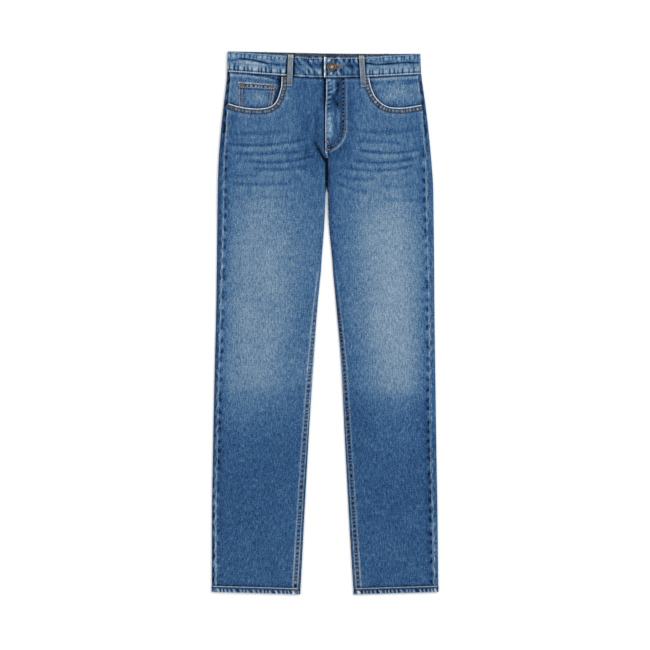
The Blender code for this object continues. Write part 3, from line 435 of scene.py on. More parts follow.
def yoke_line(side, x, on_top):
    """Distance down of the seam between the yoke and the back panel."""
    share = np.clip(np.abs(x) / edge_across(side, YOKE_AT_SIDE), 0, 1)
    line = YOKE_AT_BACK_SEAM + (YOKE_AT_SIDE - YOKE_AT_BACK_SEAM) * share
    return np.where(on_top, YOKE_AT_SIDE, line)


# ---- the flattened tube of a leg and of the seat ----------------------------------
Tube = namedtuple("Tube", "middle half inner roll flat")


def inner_edge(side, face, down):
    """x of the inner edge of a face: the fly, the middle seams or the leg."""
    own = through(OUTLINE, side + "_inner", down)
    if face == "back":
        middle = 0.5 * sum(through(OUTLINE, half + "_inner", down) for half in SIDES)
        joined = middle + SIGN[side] * 0.5 * SEAM_GAP
        return joined + (own - joined) * eased(down, 262, 285)
    fly = through(FLY, "under_edge" if side == "right" else "over_edge", down)
    return fly + (own - fly) * eased(down, 207, 225)


def back_lift(down):
    """Height of the back's underside, which the pockets and loops lift at the seat."""
    return BACK_LIFT * waned(down, *LIFT_FADES)


def section(side, face, down, proud=0.0):
    """Sizes of one half's flattened tube at a distance down.

    They are the height of its middle, half its thickness, its inner edge, how far
    that edge's roll reaches and the width of the flat faces.
    """
    down = np.asarray(down, dtype=float)
    lift = back_lift(down)
    top = TOP_AT_LEG + (TOP_AT_HIP - TOP_AT_LEG) * waned(down, HIP_END, LEG_START) + 2 * proud
    half = 0.5 * (top - lift)
    apart = 0.6 * between(down, (258, 275), (400, 430))
    inner = SIGN[side] * inner_edge(side, face, down) - proud + apart
    roll = through(SEAMS, face + "_roll", down) * half
    return Tube(0.5 * (top + lift), half, inner, roll,
                edge_across(side, down) + proud - half - inner - roll)


def skin(side, face, down, run, depth=0.0, proud=0.0):
    """x and z on the tube: flat faces joined by half circles at both edges.

    run is measured along the skin from where the inner edge's roll meets the
    face, and depth moves the point inwards through the cloth.
    """
    tube = section(side, face, down, proud)
    turn = math.pi * tube.half
    into = np.clip(-run / tube.half, 0, math.pi)
    round_outer = np.clip((run - tube.flat) / tube.half, 0, math.pi)
    beyond = np.maximum(-run - turn, 0) - np.maximum(run - tube.flat - turn, 0)
    thin = tube.half - depth
    across = tube.inner + tube.roll + np.clip(run, 0, tube.flat) + beyond
    across = across - np.maximum(tube.roll * (1 - depth / tube.half), 0) * np.sin(into)
    across = across + thin * np.sin(round_outer)
    height = thin * np.cos(into) * np.cos(round_outer)
    return SIGN[side] * across, tube.middle + (height if face == "front" else -height)


def seam_run(side, down):
    """Run of the side seam along the front face."""
    tube = section(side, "front", down)
    return tube.flat - (through(SEAMS, "side_" + side, down) - tube.half)


def run_at(side, across, down):
    """Run of the place on the front face that lies above a place on the plane."""
    tube = section(side, "front", down)
    plain = across - tube.inner - tube.roll
    into = np.arcsin(np.clip(-plain / np.maximum(tube.roll, 0.01), 0, 1))
    beyond = np.arcsin(np.clip((plain - tube.flat) / tube.half, 0, 1))
    return np.where(plain < 0, -into * tube.half,
                    np.where(plain > tube.flat, tube.flat + beyond * tube.half, plain))


# ---- what sewing and wear do to the fronts -------------------------------------------
def fold_height(side, across, down):
    """Height of the largest folds: soft troughs and ridges along lines."""
    total = np.zeros(np.broadcast(across, down).shape)
    for fold in FOLDS[side]:
        share, away = line_share(across, down, fold[:4])
        total += fold.height * (0.35 + 0.65 * np.sin(math.pi * share)) * bump(away, 0, fold.spread)
    return total


def whisker_waves(side, across, down):
    """Depth of the lines worn into the lap: each is an arc through three places."""
    total = np.zeros(np.broadcast(across, down).shape)
    for row in WHISKERS[side]:
        places = (row.across_a, row.across_b, row.across_c)
        arc = np.polyfit(places, (row.down_a, row.down_b, row.down_c), 2)
        low, high = min(places), max(places)
        ends = between(across, (low - 8, low + 14), (high - 14, high + 8))
        broken = 1.5 + 0.4 * noise(across / 13, row.down_b, 17)
        line = bumps(down - np.polyval(arc, across), (-broken, 0, row.spread), (0.65, 6.5, 3.6))
        total += row.dark * ends * line
    return total


def marks(rows, x, down):
    """What small folds and worn patches add to the tone, painted shade and light among it, and to the
    height.
    """
    tone = np.zeros(np.broadcast(x, down).shape)
    height = tone.copy()
    for row in rows:
        share, away = line_share(x, down, row[:4])
        soft = (0.55 + 0.45 * np.sin(math.pi * share)) * bump(away, 0, row.spread)
        soft = soft * (0.85 + 0.3 * noise(x / 5, down / 5, 18))
        tone += row.tone * soft
        height += row.height * soft
    return tone, height


def band_on(down):
    """Where the inseam's felled band shows on the top, from 0 to 1."""
    return eased(down, 470, 600)


def front_relief(side, near_inseam, near_side, across, down):
    """Height that seams, puckers and wrinkles add to a front panel."""
    seed = 11 + HALVES[side].seed
    total = 0.3 * bump(near_side, 0, 1.8)
    total = total - 0.55 * pulses(down, 25, 5.5, seed) * bump(near_side, 4.6, 2.6)
    total = total - 0.2 * pulses(down, 11, 2.8, seed + 2) * bump(near_side, 3.4, 2.4)
    felled = 0.4 * waned(near_inseam, 9.2, 11.2) + 0.3 * bump(near_inseam, 5.2, 2.6) * ripple(
        down, 12, seed + 4)
    total = total + band_on(down) * felled + 0.012 * whisker_waves(side, across, down)
    soft = noise(across / 34, down / 58, seed + 6) + 0.5 * noise(across / 15, down / 24, seed + 7)
    total = total + 0.32 * soft * eased(near_side, 6, 24) * eased(near_inseam, 8, 26)
    below = below_waist(side, across, down)
    total = total * eased(below, 1, 9) - 0.25 * bump(below, 0, 2)
    if side == "left":
        free = across - through(FLY, "over_edge", down)
        puckers = 0.18 * bump(free, 5, 4) * ripple(down, 8.5, 21)
        total = total + waned(down, 178, 192) * (puckers - 0.35 * bump(free, 0, 0.9))
    return total + marks(FRONT_MARKS[side], across, down)[1]


def front_at(side, down, run, depth=0.0):
    """A place on a front panel, with its folds and relief: x, z and tone inputs."""
    near_inseam = run - through(SEAMS, "inseam_turn", down)
    near_side = seam_run(side, down) - run
    plain = SIGN[side] * skin(side, "front", down, run)[0]
    rise = front_relief(side, near_inseam, near_side, plain, down)
    x, z = skin(side, "front", down, run, depth - rise)
    z = z + fold_height(side, plain, down)
    if side == "right":  # it drops where it runs under the fly
        z = z - 1.4 * eased(x, -6.5, -0.5) * waned(down, 198, 212)
    return x, z, near_inseam, near_side, plain


def front_points(side, down, run, lift=0.0):
    """Points on a front panel at runs along its skin, as x, down and z."""
    x, z = front_at(side, down, run, -lift)[:2]
    return grid(x, down, z)


def on_front(side, across, down, lift=0.0):
    """Points on a front panel above places on the plane, as x, down and z."""
    return front_points(side, down, run_at(side, across, down), lift)


def seam_wear_and_shade(side, beyond, down):
    """Tone along the side seam, where beyond is the distance inwards from it.

    The seam's ridge is a pale line that sways a little, and the cloth beside it
    is gathered into dark puckers, larger on its inner side; their dark is partly
    unworn cloth and partly painted shade.
    """
    half = HALVES[side]
    seed = 11 + half.seed
    sway = beyond - 1.3 * ripple(down, 24, seed + 9)
    low, hip = eased(down, 780, 900), waned(down, 165, 200)
    worn = half.worn_low * low
    ridge = (half.ridge + 34 * low) * (0.7 + 0.3 * noise(down / 6, 0, seed + 8))
    small = 28 * pulses(down, 9, 2.2, seed + 2)
    inner = (78 - 40 * worn) * np.tanh(1.6 * pulses(down, 19.5, 4.2, seed)) * (1 - hip) + small
    outer = (24 + 110 * worn + 56 * hip) * pulses(down + 9, 19.5, 5.2 + 1.2 * worn, seed) + 0.7 * small
    outside = half.outside + 40 * worn - outer
    return (bumps(sway, (ridge, 0.2, 1.4), (20 - inner, 4.4, 3.4), (outside, -3.4, 2.4))
            + bumps(beyond, (-8, 10, 5), (-44 * hip, -1.7, 1.2)))


def inseam_wear_and_shade(side, near, down):
    """Tone of the inseam's felled band: two worn rows with dark puckers between,
    and painted shade along the leg's inner edge where the band doesn't show.
    """
    half = HALVES[side]
    rows = bumps(near, (half.inseam_pale, 1.6, 1), (half.inseam_pale, 10.6, 1.3))
    rows = rows * eased(down, 395, 450) * (1 + 0.5 * eased(down, 880, 1010))
    gathers = 58 * np.tanh(2 * ripple(down, 7.8, 34 + half.seed)) - half.inseam_dark
    shade = half.inner_shade * (1 - band_on(down)) * eased(down, 190, 240) * bump(near, 2, 9)
    return rows + eased(down, 440, 560) * gathers * bump(near, 5.8, 2.6) - shade


def under_fly_tone(across, down):
    """Painted shadow of the fly's edge on the right front, and painted black shade at the crotch."""
    edge = through(FLY, "over_edge", down) + across
    on_fly, upper = waned(down, 186, 197), waned(down, 80, 130)
    wide = 1 + 2.2 * upper
    tone = -on_fly * (100 * waned(edge, wide, wide + 2.4) + 22 * upper * bump(edge, 7, 3))
    return tone - 120 * between(down, (205, 213), (259, 262)) * waned(across, -1.4, 0.6)


def fly_tone(across, down):
    """Wear of the fly on the left front: its free edge, puckers and stitched rows, with painted black
    shade at the crotch.
    """
    free = across - through(FLY, "over_edge", down)
    upper = waned(down, 106, 122)
    ladder = (128 * pulses(down + 0.35 * free, 8.2, 1.8, 21) - 44) * (0.3 + 0.7 * upper)
    streaks = 12 * noise(across / 2.4, down / 13, 22) * waned(across, 32, 40)
    tone = waned(down, 190, 198) * (bumps(free, (112, 0.3, 1.05), (-ladder, 5.8, 3.8)) + streaks
                                    - 9 * upper * waned(across, 29, 34))
    outer, inner = (away_from(path_through(FLY_ROWS[key], 2.0), across, down) for key in FLY_ROWS)
    gathers = 66 * np.tanh(2 * ripple(0.5 * across + down, 7.6, 23)) - 44
    outline = (38 + 26 * eased(down, 150, 172)) * (inner > 8.5)
    tone = tone + bumps(outer, (-52, 0, 1.4), (outline, 3, 1.5)) - 46 * bump(inner, 0, 1.3)
    tone = tone + gathers * bump(outer, 3.7, 1.8) * bump(inner, 3.7, 1.8)
    # painted black shade in the gap between the legs at the crotch
    crotch = between(down, (203, 211), (259, 262)) * waned(across, 4.4, 6.6)
    worn = between(down, (187, 191), (200, 206)) * bumps(across, (46, 2.2, 1.5), (-26, 6, 1.6))
    return tone - 120 * crotch + worn


def front_tone(side, near_inseam, near_side, across, down, mouth):
    """Tone of a front panel: the wash, the wear on seams and their shadows."""
    half, wash = HALVES[side], bpy.context.scene.jeans_wash
    seed = 31 + half.seed
    share = near_inseam / np.maximum(near_inseam + near_side, 1)
    base = through(FADE, "base", down)
    glow = through(FADE, "thigh", down) * through(ACROSS, side, share)
    tone = base + (getattr(wash, "thigh_" + side) - base) * glow + half.knee * bump(down, 690, 60)
    tone = tone + 3.5 * noise(across / 26, down / 50, seed) + 2 * noise(across / 9, down / 19, seed + 1)
    tone = tone + 3 * noise((across + 0.3 * down) / 22, (down - 0.3 * across) / 6, seed + 9)
    tone = tone + whisker_waves(side, across, down) + marks(FRONT_MARKS[side], across, down)[0]
    # painted shade in the troughs of the large folds and painted light on their ridges
    tone = tone + 7 * fold_height(side, across, down) * (down < 300)
    tone = tone - 10 * waned(down, 190, 235) * waned(across, 42, 66)
    tone = tone + seam_wear_and_shade(side, near_side, down) + inseam_wear_and_shade(side, near_inseam, down)
    # a painted shadow that the hem's edge casts on the leg just above it
    above_hem = hem_bottom(side, across) - HEM_DEPTH - down
    tone = tone - (40 + 16 * noise(across / 6, 0, seed + 7)) * bump(above_hem, 0, 3.2)
    # the waist seam's painted shadow, then a painted highlight below it
    tone = tone + bumps(below_waist(side, across, down), (-62, 0, 2.2), (12, 6, 3))
    # pale puckers below the pocket mouth's stitching
    puckers = 11 + 9 * ripple(across + down, 9, seed + 5)
    tone = tone + puckers * bump(away_from(mouth, across, down), 14, 3.2)
    return tone + (under_fly_tone if side == "right" else fly_tone)(across, down)


# ---- meshes --------------------------------------------------------------------------
Shape = namedtuple("Shape", "verts faces tone tint")


def grid_faces(rows, columns, ring=False):
    """Four-sided faces of a grid of points, row by row."""
    r, c = np.meshgrid(np.arange(rows - 1), np.arange(columns if ring else columns - 1), indexing="ij")
    a, b = r * columns + c, r * columns + (c + 1) % columns
    return np.stack([a, b, b + columns, a + columns], axis=-1).reshape(-1, 4)


def grid(x, down, z):
    """Join x, distance down and height into points on a grid."""
    return np.stack(np.broadcast_arrays(*(np.asarray(v, dtype=float) for v in (x, down, z))), axis=-1)


def shell(outer, inner, tone, inner_tone, tint=0.0, ring=False, inner_tint=None):
    """Close two grids of points into one thin wall, skin to skin."""
    shape = rows, columns = outer.shape[:2]
    far = rows * columns
    index = np.arange(far).reshape(shape)
    wrap = np.concatenate([index, index[:, :1]], axis=1) if ring else index
    borders = [(wrap[0, 1:], wrap[0, :-1]), (wrap[-1, :-1], wrap[-1, 1:])]
    if not ring:
        borders += [(index[:-1, 0], index[1:, 0]), (index[1:, -1], index[:-1, -1])]
    sides = [np.stack([a, b, b + far, a + far], axis=-1) for a, b in borders]
    faces = grid_faces(rows, columns, ring)
    inner_tint = tint if inner_tint is None else inner_tint
    tones, tints = (np.concatenate([np.broadcast_to(v, shape).ravel() for v in pair])
                    for pair in ((tone, inner_tone), (tint, inner_tint)))
    return Shape(np.concatenate([outer.reshape(-1, 3), inner.reshape(-1, 3)]),
                 [np.concatenate([faces, faces[:, ::-1] + far, *sides])], tones, tints)


def rod(loops, tone, tint=0.0):
    """Close a row of rings, rows by columns, into one solid with flat ends."""
    shape = rows, columns = loops.shape[:2]
    ends = np.stack([np.arange(columns)[::-1], np.arange(columns) + (rows - 1) * columns])
    return Shape(loops.reshape(-1, 3), [grid_faces(rows, columns, True), ends],
                 np.broadcast_to(tone, shape).ravel(), np.broadcast_to(tint, shape).ravel())


def lozenges(centre, along, up, length, width, tone, tint=0.0):
    """Stitches: five-sided tubes through four rings whose ends dip into the cloth."""
    count = len(centre)
    side = np.cross(up, along)
    t = np.array([-1.0, -0.5, 0.5, 1.0])[:, None]
    girth = np.array([0.35, 1.0, 1.0, 0.35])[:, None]
    turn = 2 * math.pi * np.arange(5)[None, :] / 5 + 0.5 * math.pi
    local = grid(0.5 * length * t, 0.5 * width * girth * np.cos(turn),
                 0.34 * width * girth * np.sin(turn) - 0.4 * width * (np.abs(t) > 0.9))
    local = local.reshape(1, 20, 3)
    verts = (centre[:, None, :] + local[..., :1] * along[:, None, :]
             + local[..., 1:2] * side[:, None, :] + local[..., 2:] * up[:, None, :])
    first = (np.arange(count) * 20)[:, None, None]
    quads = (grid_faces(4, 5, True)[None] + first).reshape(-1, 4)
    ends = (np.array([[4, 3, 2, 1, 0], [15, 16, 17, 18, 19]])[None] + first).reshape(-1, 5)
    tones = np.broadcast_to(np.asarray(tone, dtype=float).reshape(-1, 1), (count, 20)).ravel()
    return Shape(verts.reshape(-1, 3), [quads, ends], tones, np.full(count * 20, tint))


def unit(v):
    """Vectors of length 1 along the last axis."""
    return v / np.maximum(np.linalg.norm(v, axis=-1, keepdims=True), 1e-9)


def upright(count):
    """Vectors that point up, one for each stitch."""
    return np.tile([0.0, 0.0, 1.0], (count, 1))


def sewn(points, dye, pitch=None, up=1.0, width=None):
    """A row of stitches laid end to end along points given as x, down and z."""
    thread = bpy.context.scene.jeans_thread
    pitch = pitch or thread.pitch
    gaps = np.linalg.norm(np.diff(points, axis=0), axis=1)
    along = np.concatenate([[0.0], np.cumsum(gaps)])
    count = max(int(along[-1] / pitch), 1)
    at = (np.arange(count) + 0.5) * along[-1] / count

    def place(where):
        """Points at distances along the row."""
        return np.stack([np.interp(where, along, points[:, k]) for k in range(3)], axis=1)

    ahead = unit(place(at + 0.4 * pitch) - place(at - 0.4 * pitch))
    normal = up * upright(count)
    normal = unit(normal - ahead * (normal * ahead).sum(axis=1, keepdims=True))
    tone = dye + 0.12 * lattice(np.arange(count), int(points[0, 1] * 7), 9)
    return lozenges(place(at) + normal * 0.18, ahead, normal, 0.82 * pitch, width or thread.width, tone)


def bar_tack(centre, direction, length, width, dye, rust=0.9):
    """A dense bar of short stitches laid side by side across its length."""
    direction = unit(np.array([[*direction, 0.0]]))
    count = int(length / 0.75)
    at = (np.arange(count) + 0.5) / count - 0.5
    up = upright(count)
    centre = np.array([centre]) + direction * (at * length)[:, None] + up * 0.3
    tone = dye + 0.1 * lattice(np.arange(count), 3, 9)
    return lozenges(centre, np.cross(up, direction), up, width, 1.1, tone, rust)


def build(name, shapes, finish, crease=60.0):
    """Make one object of closed shapes, each turned so that it faces outwards."""
    verts, faces, first = [], [], 0
    for shape in shapes:
        points = shape.verts * [MM, -MM, MM] + [0.0, 0.5 * LENGTH * MM, 0.0]
        volume = 0.0
        for group in shape.faces:
            corners = points[group]
            for k in range(1, group.shape[1] - 1):
                volume += (corners[:, 0] * np.cross(corners[:, k], corners[:, k + 1])).sum()
        for group in shape.faces:
            faces += ((group if volume > 0 else group[:, ::-1]) + first).tolist()
        verts.append(points)
        first += len(points)
    mesh = bpy.data.meshes.new(name)
    mesh.from_pydata(np.concatenate(verts), [], faces)
    for key, most in (("tone", 255.0), ("tint", 1.0)):
        values = np.concatenate([getattr(shape, key) for shape in shapes]) / most
        mesh.attributes.new(key, "FLOAT", "POINT").data.foreach_set("value", values.astype(np.float32))
    mesh.materials.append(finish)
    mesh.shade_smooth()
    mesh.set_sharp_from_angle(angle=math.radians(crease))
    item = bpy.data.objects.new(name, mesh)
    bpy.context.scene.collection.objects.link(item)
    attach(item, "root")
    return item


def cloth(name, finish, outer, inner, tone, inner_tone, **more):
    """Make one piece of cloth: a thin wall between two grids of points."""
    return build(name, [shell(outer, inner, tone, inner_tone, **more)], finish, 38.0)


# ---- materials -------------------------------------------------------------------------
INDIGO = [(10, "#04060d"), (40, "#122842"), (74, "#254973"), (88, "#335880"), (104, "#4a6c8c"),
          (128, "#6d8498"), (149, "#8499ab"), (175, "#a3b5c7"), (205, "#c8d4e0"), (245, "#f0f3f6")]
WORN_GREY = [(10, "#050505"), (40, "#25262a"), (74, "#464b52"), (104, "#636a73"),
             (128, "#7c828a"), (160, "#a2a29f"), (205, "#d2cdc4"), (245, "#efebe4")]
THREADS = [(0, "#1b1816"), (60, "#3a3431"), (110, "#665b52"), (160, "#989083"), (205, "#c8c5b9"),
           (245, "#ebe8df")]
RUST = [(0, "#2a1b12"), (60, "#513a2a"), (110, "#7a5d46"), (160, "#a6886a"), (245, "#e0d0b8")]
TONAL = [(0, "#27405f"), (90, "#5d7a99"), (160, "#92a9c0"), (220, "#c3d0dd"), (250, "#e4eaf0")]
COPPER = [(30, "#2a2725"), (90, "#544a42"), (150, "#86705f"), (225, "#b8aea2")]


def linear(code):
    """An sRGB hex value as the linear colour that shaders take."""
    parts = [int(code[k:k + 2], 16) / 255 for k in (1, 3, 5)]
    return tuple(p / 12.92 if p <= 0.04045 else ((p + 0.055) / 1.055) ** 2.4 for p in parts)


def fresh(name, constants):
    """A new material, its nodes and its Principled shader with constants set."""
    finish = bpy.data.materials.new(name)
    finish.use_nodes = True
    shader = finish.node_tree.nodes["Principled BSDF"]
    for socket, value in constants.items():
        shader.inputs[socket].default_value = value
    return finish, finish.node_tree, shader


def node(tree, kind, values=(), links=(), stops=(), **settings):
    """Add one node with its settings, its socket values, its links and a ramp's stops.

    Each stop is a tone from 0 to 255 and an sRGB hex value.
    """
    made = tree.nodes.new("ShaderNode" + kind)
    for name, value in settings.items():
        setattr(made, name, value)
    for socket, value in dict(values).items():
        made.inputs[socket].default_value = value
    for socket, source in dict(links).items():
        tree.links.new(source, made.inputs[socket])
    for _ in stops[2:]:
        made.color_ramp.elements.new(0.5)
    for k, (tone, code) in enumerate(stops):
        made.color_ramp.elements[k].position = tone / 255
        made.color_ramp.elements[k].color = (*linear(code), 1.0)
    return made


def nudged(tree, tone, source, amount):
    """The tone moved by an amount of a pattern that lies about a half."""
    lifted = node(tree, "Math", {1: 0.5}, {0: source}, operation="SUBTRACT").outputs["Value"]
    return node(tree, "Math", {1: amount}, {0: lifted, 2: tone},
                operation="MULTIPLY_ADD").outputs["Value"]


def dyed(tree, shader, tone, plain, worn):
    """Colour the shader by tone, from one row of colours to another by tint."""
    tint = node(tree, "Attribute", attribute_name="tint")
    first, second = (node(tree, "ValToRGB", {}, {"Fac": tone}, row) for row in (plain, worn))
    mixed = node(tree, "Mix", {}, {0: tint.outputs["Fac"], 6: first.outputs["Color"],
                                   7: second.outputs["Color"]}, data_type="RGBA")
    tree.links.new(mixed.outputs[2], shader.inputs["Base Color"])


def washed_denim(name, grain=1.0):
    """Stone-washed indigo twill, woven and enzyme washed: matt cotton with soft
    vertical slubs, cloudy fading and a faint diagonal rib, paler where it is worn."""
    finish, tree, shader = fresh(name, {"Roughness": 0.88, "Specular IOR Level": 0.06,
                                        "Sheen Weight": 0.03, "Sheen Roughness": 0.6})
    place = node(tree, "TexCoord").outputs["Object"]
    # the warp's slubs are 1.9 mm wide and 10 mm long, the weft's 5.6 mm wide and 1.8 mm high
    slub, weft = (
        node(tree, "TexNoise", {"Scale": 1.0, "Detail": detail, "Roughness": 0.6},
             {"Vector": node(tree, "Mapping", {"Scale": cells}, {"Vector": place}).outputs["Vector"]})
        for cells, detail in (((520.0, 100.0, 520.0), 2.5), ((180.0, 560.0, 180.0), 2.0)))
    # the clouds of the wash are 18 mm across and its specks 1.7 mm
    cloud, speck = (
        node(tree, "TexNoise", {"Scale": cells, "Detail": 2.0, "Roughness": rough}, {"Vector": place})
        for cells, rough in ((55.0, 0.5), (600.0, 0.7)))
    # the twill's rib: real ones are 0.7 mm apart, drawn at 1.5 mm so that they show
    turn = node(tree, "Mapping", {"Rotation": (0.0, 0.0, math.radians(28.0))}, {"Vector": place})
    rib = node(tree, "TexWave", {"Scale": 209.0, "Distortion": 1.2, "Detail": 1.0,
                                 "Detail Scale": 2.0},
               {"Vector": turn.outputs["Vector"]}, bands_direction="X")
    tone = node(tree, "Attribute", attribute_name="tone").outputs["Fac"]
    for source, amount in ((slub, 0.4), (weft, 0.18), (cloud, 0.02), (speck, 0.56), (rib, 0.04)):
        tone = nudged(tree, tone, source.outputs["Fac"], amount * grain)
    dyed(tree, shader, tone, INDIGO, WORN_GREY)
    weave = node(tree, "Math", {}, {0: slub.outputs["Fac"], 1: rib.outputs["Fac"]}, operation="ADD")
    rough = node(tree, "Bump", {"Strength": 0.5, "Distance": 0.0004},
                 {"Height": weave.outputs["Value"]})
    tree.links.new(rough.outputs["Normal"], shader.inputs["Normal"])
    return finish


def sewing_thread(name, stops):
    """Core-spun polyester thread, dyed: a slight lustre along each stitch."""
    finish, tree, shader = fresh(name, {"Roughness": 0.6, "Specular IOR Level": 0.3})
    place = node(tree, "TexCoord").outputs["Object"]
    # the thread is uneven from place to place, about every 1.1 mm
    twist = node(tree, "TexNoise", {"Scale": 900.0, "Detail": 1.0}, {"Vector": place})
    dye = node(tree, "Attribute", attribute_name="tone").outputs["Fac"]
    dyed(tree, shader, nudged(tree, dye, twist.outputs["Fac"], 0.3), stops, RUST)
    return finish


def antique_copper(name):
    """Cast zinc plated with antique copper and brushed: dark in the hollows,
    bright and warm on the rim, with a fine rubbed grain."""
    finish, tree, shader = fresh(name, {"Metallic": 1.0, "Roughness": 0.42})
    place = node(tree, "TexCoord").outputs["Object"]
    # the rubbed grain, drawn at 1.4 mm so that it shows
    rubbed = node(tree, "TexNoise", {"Scale": 700.0, "Detail": 3.0}, {"Vector": place}).outputs["Fac"]
    # the tone: patina in the hollows, rubbed metal on the rim and a painted highlight in the middle of
    # the button
    wear = node(tree, "Attribute", attribute_name="tone").outputs["Fac"]
    tone = node(tree, "Math", {1: 0.25}, {0: rubbed, 2: wear}, operation="MULTIPLY_ADD")
    colour = node(tree, "ValToRGB", {}, {"Fac": tone.outputs["Value"]}, COPPER)
    rough = node(tree, "Bump", {"Strength": 0.3, "Distance": 0.0002}, {"Height": rubbed})
    tree.links.new(colour.outputs["Color"], shader.inputs["Base Color"])
    tree.links.new(rough.outputs["Normal"], shader.inputs["Normal"])
    return finish


def plain_floor(name, colour):
    """A matt painted surface, a little uneven so that it isn't one flat colour."""
    finish, tree, shader = fresh(name, {"Roughness": 0.9, "Specular IOR Level": 0.0})
    place = node(tree, "TexCoord").outputs["Object"]
    cloud = node(tree, "TexNoise", {"Scale": 1.5, "Detail": 2.0}, {"Vector": place})
    dim = tuple(0.985 * c for c in colour)
    mixed = node(tree, "Mix", {6: (*dim, 1.0), 7: (*colour, 1.0)}, {0: cloud.outputs["Fac"]},
                 data_type="RGBA")
    tree.links.new(mixed.outputs[2], shader.inputs["Base Color"])
    return finish


# ---- the panels ------------------------------------------------------------------------
def offset(path, distance):
    """A path moved sideways by a distance towards the front panel."""
    ahead = unit(np.gradient(path, axis=0))
    return path + distance * np.stack([-ahead[:, 1], ahead[:, 0]], axis=1)


def mouth_path(side):
    """The pocket's opening edge, from the waist seam to the side seam."""
    path = path_through(POCKET[side], MOUTH_STEP)
    return path[(below_waist(side, path[:, 0], path[:, 1]) > 0.5)
                & (path[:, 0] < seam_across(side, path[:, 1]) - 0.4)]


def front_panel(side, finish):
    """The front of one leg: two skins of the tube, cut away along the pocket."""
    cell = bpy.context.scene.jeans_cloth.cell
    near = np.array([0.0, 0.7, 1.4, 2.1, 2.9, 3.8, 5.0, 6.2, 7.4, 8.6, 9.6, 10.6, 11.8, 13.4])
    inner = near if side == "right" else np.concatenate([near, np.arange(14.8, 46.0, 1.35)])
    shares = np.linspace(0, 1, int((178 - inner[-1]) / cell))[1:-1]
    steps = np.concatenate([inner, np.full(len(shares), inner[-1]), inner[-1] + near[-1] - near[::-1]])
    shares = np.concatenate([np.zeros(len(inner)), shares, np.ones(len(near))])

    def runs(down):
        """Runs of the panel's columns: close at both seams, even between them."""
        start = through(SEAMS, "inseam_turn", down)
        end = seam_run(side, down) - 0.5 * SEAM_GAP
        return start + steps + shares * (end - start - inner[-1] - near[-1])

    def column_across(at):
        """Distances of the columns from the middle line at one distance down."""
        at = np.full(len(steps), at)
        return SIGN[side] * skin(side, "front", at, runs(at))[0]

    across, lip = column_across(78.0), 1.2
    cut = through(POCKET[side], "down", across + lip) + lip
    tops = waist_seam(SIGN[side] * across, "front") + SEAM_GAP
    tops = np.where(across <= POCKET[side][0].across - lip, tops, np.maximum(cut, tops))
    low = hem_bottom(side, column_across(LENGTH)) - HEM_DEPTH - SEAM_GAP
    shares_down = np.linspace(0, 1, 52)[:-1, None]
    lap = LAP_TOP + (LAP_END - LAP_TOP) * shares_down + 0 * tops
    leg = LAP_END + (low - LAP_END) * np.linspace(0, 1, int(740 / cell))[:, None]
    down = np.concatenate([tops + (LAP_TOP - tops) * shares_down, lap, leg])
    skins = []
    for depth in (0.0, CLOTH):
        x, z, near_inseam, near_side, plain = front_at(side, down, runs(down), depth)
        skins.append(grid(x, down, z))
    tone = front_tone(side, near_inseam, near_side, plain, down, mouth_path(side))
    tint = (0.12 + 0.35 * eased(down, 920, 1010)) * band_on(down) * bump(near_inseam, 6, 5)
    return cloth("front_" + side + "_cloth", finish, *skins, tone, 60, tint=tint)


MOUTH_PROFILE = np.array([
    (0.6, -1.25), (-0.15, -1.1), (-0.5, -0.5), (-0.4, 0.05), (0.1, 0.45), (0.9, 0.62), (2.2, 0.55),
    (3.6, 0.5), (5.2, 0.5), (6.8, 0.5), (8.2, 0.5), (9.6, 0.46), (10.5, 0.3), (11.0, 0.02),
    (11.1, -0.35), (8.0, -0.5), (4.0, -0.5), (1.6, -0.6)])


def mouth_strip(side, finish):
    """The turned edge of a pocket's mouth: a rounded lip carried along its curve."""
    path, half = mouth_path(side), HALVES[side]
    out, rise = MOUTH_PROFILE.T
    across, down = np.stack([offset(path, way) for way in out], axis=-1).transpose(1, 0, 2)
    across = np.minimum(across, seam_across(side, down) - 0.3)
    down = np.maximum(down, waist_seam(SIGN[side] * across, "front") + 0.45)
    along, seed = np.arange(len(path)) * MOUTH_STEP, 41 + half.seed
    pucker = (ripple(along, 6.3, seed) + 0.5 * ripple(along, 15, seed + 2))[:, None]
    pucker = pucker * bump(out, 5.8, 3.2) * (rise > 0)
    tone = 92 + 132 * bump(out, 0.1, 1.1) * (rise > -0.7) + bumps(out, (-56, 2.8, 1.1), (-50, 9.8, 1.4))
    # the lip's rolled outer edge and underside get painted shade
    tone = tone + half.mouth_pucker * pucker - 60 * eased(-rise, 0.3, 0.8)
    loops = on_front(side, across, down, rise + 0.16 * pucker)
    return build("pocket_mouth_" + side, [rod(loops, tone, 0.7 * bump(out, 6, 4) * (rise > 0))],
                 finish, 38.0)


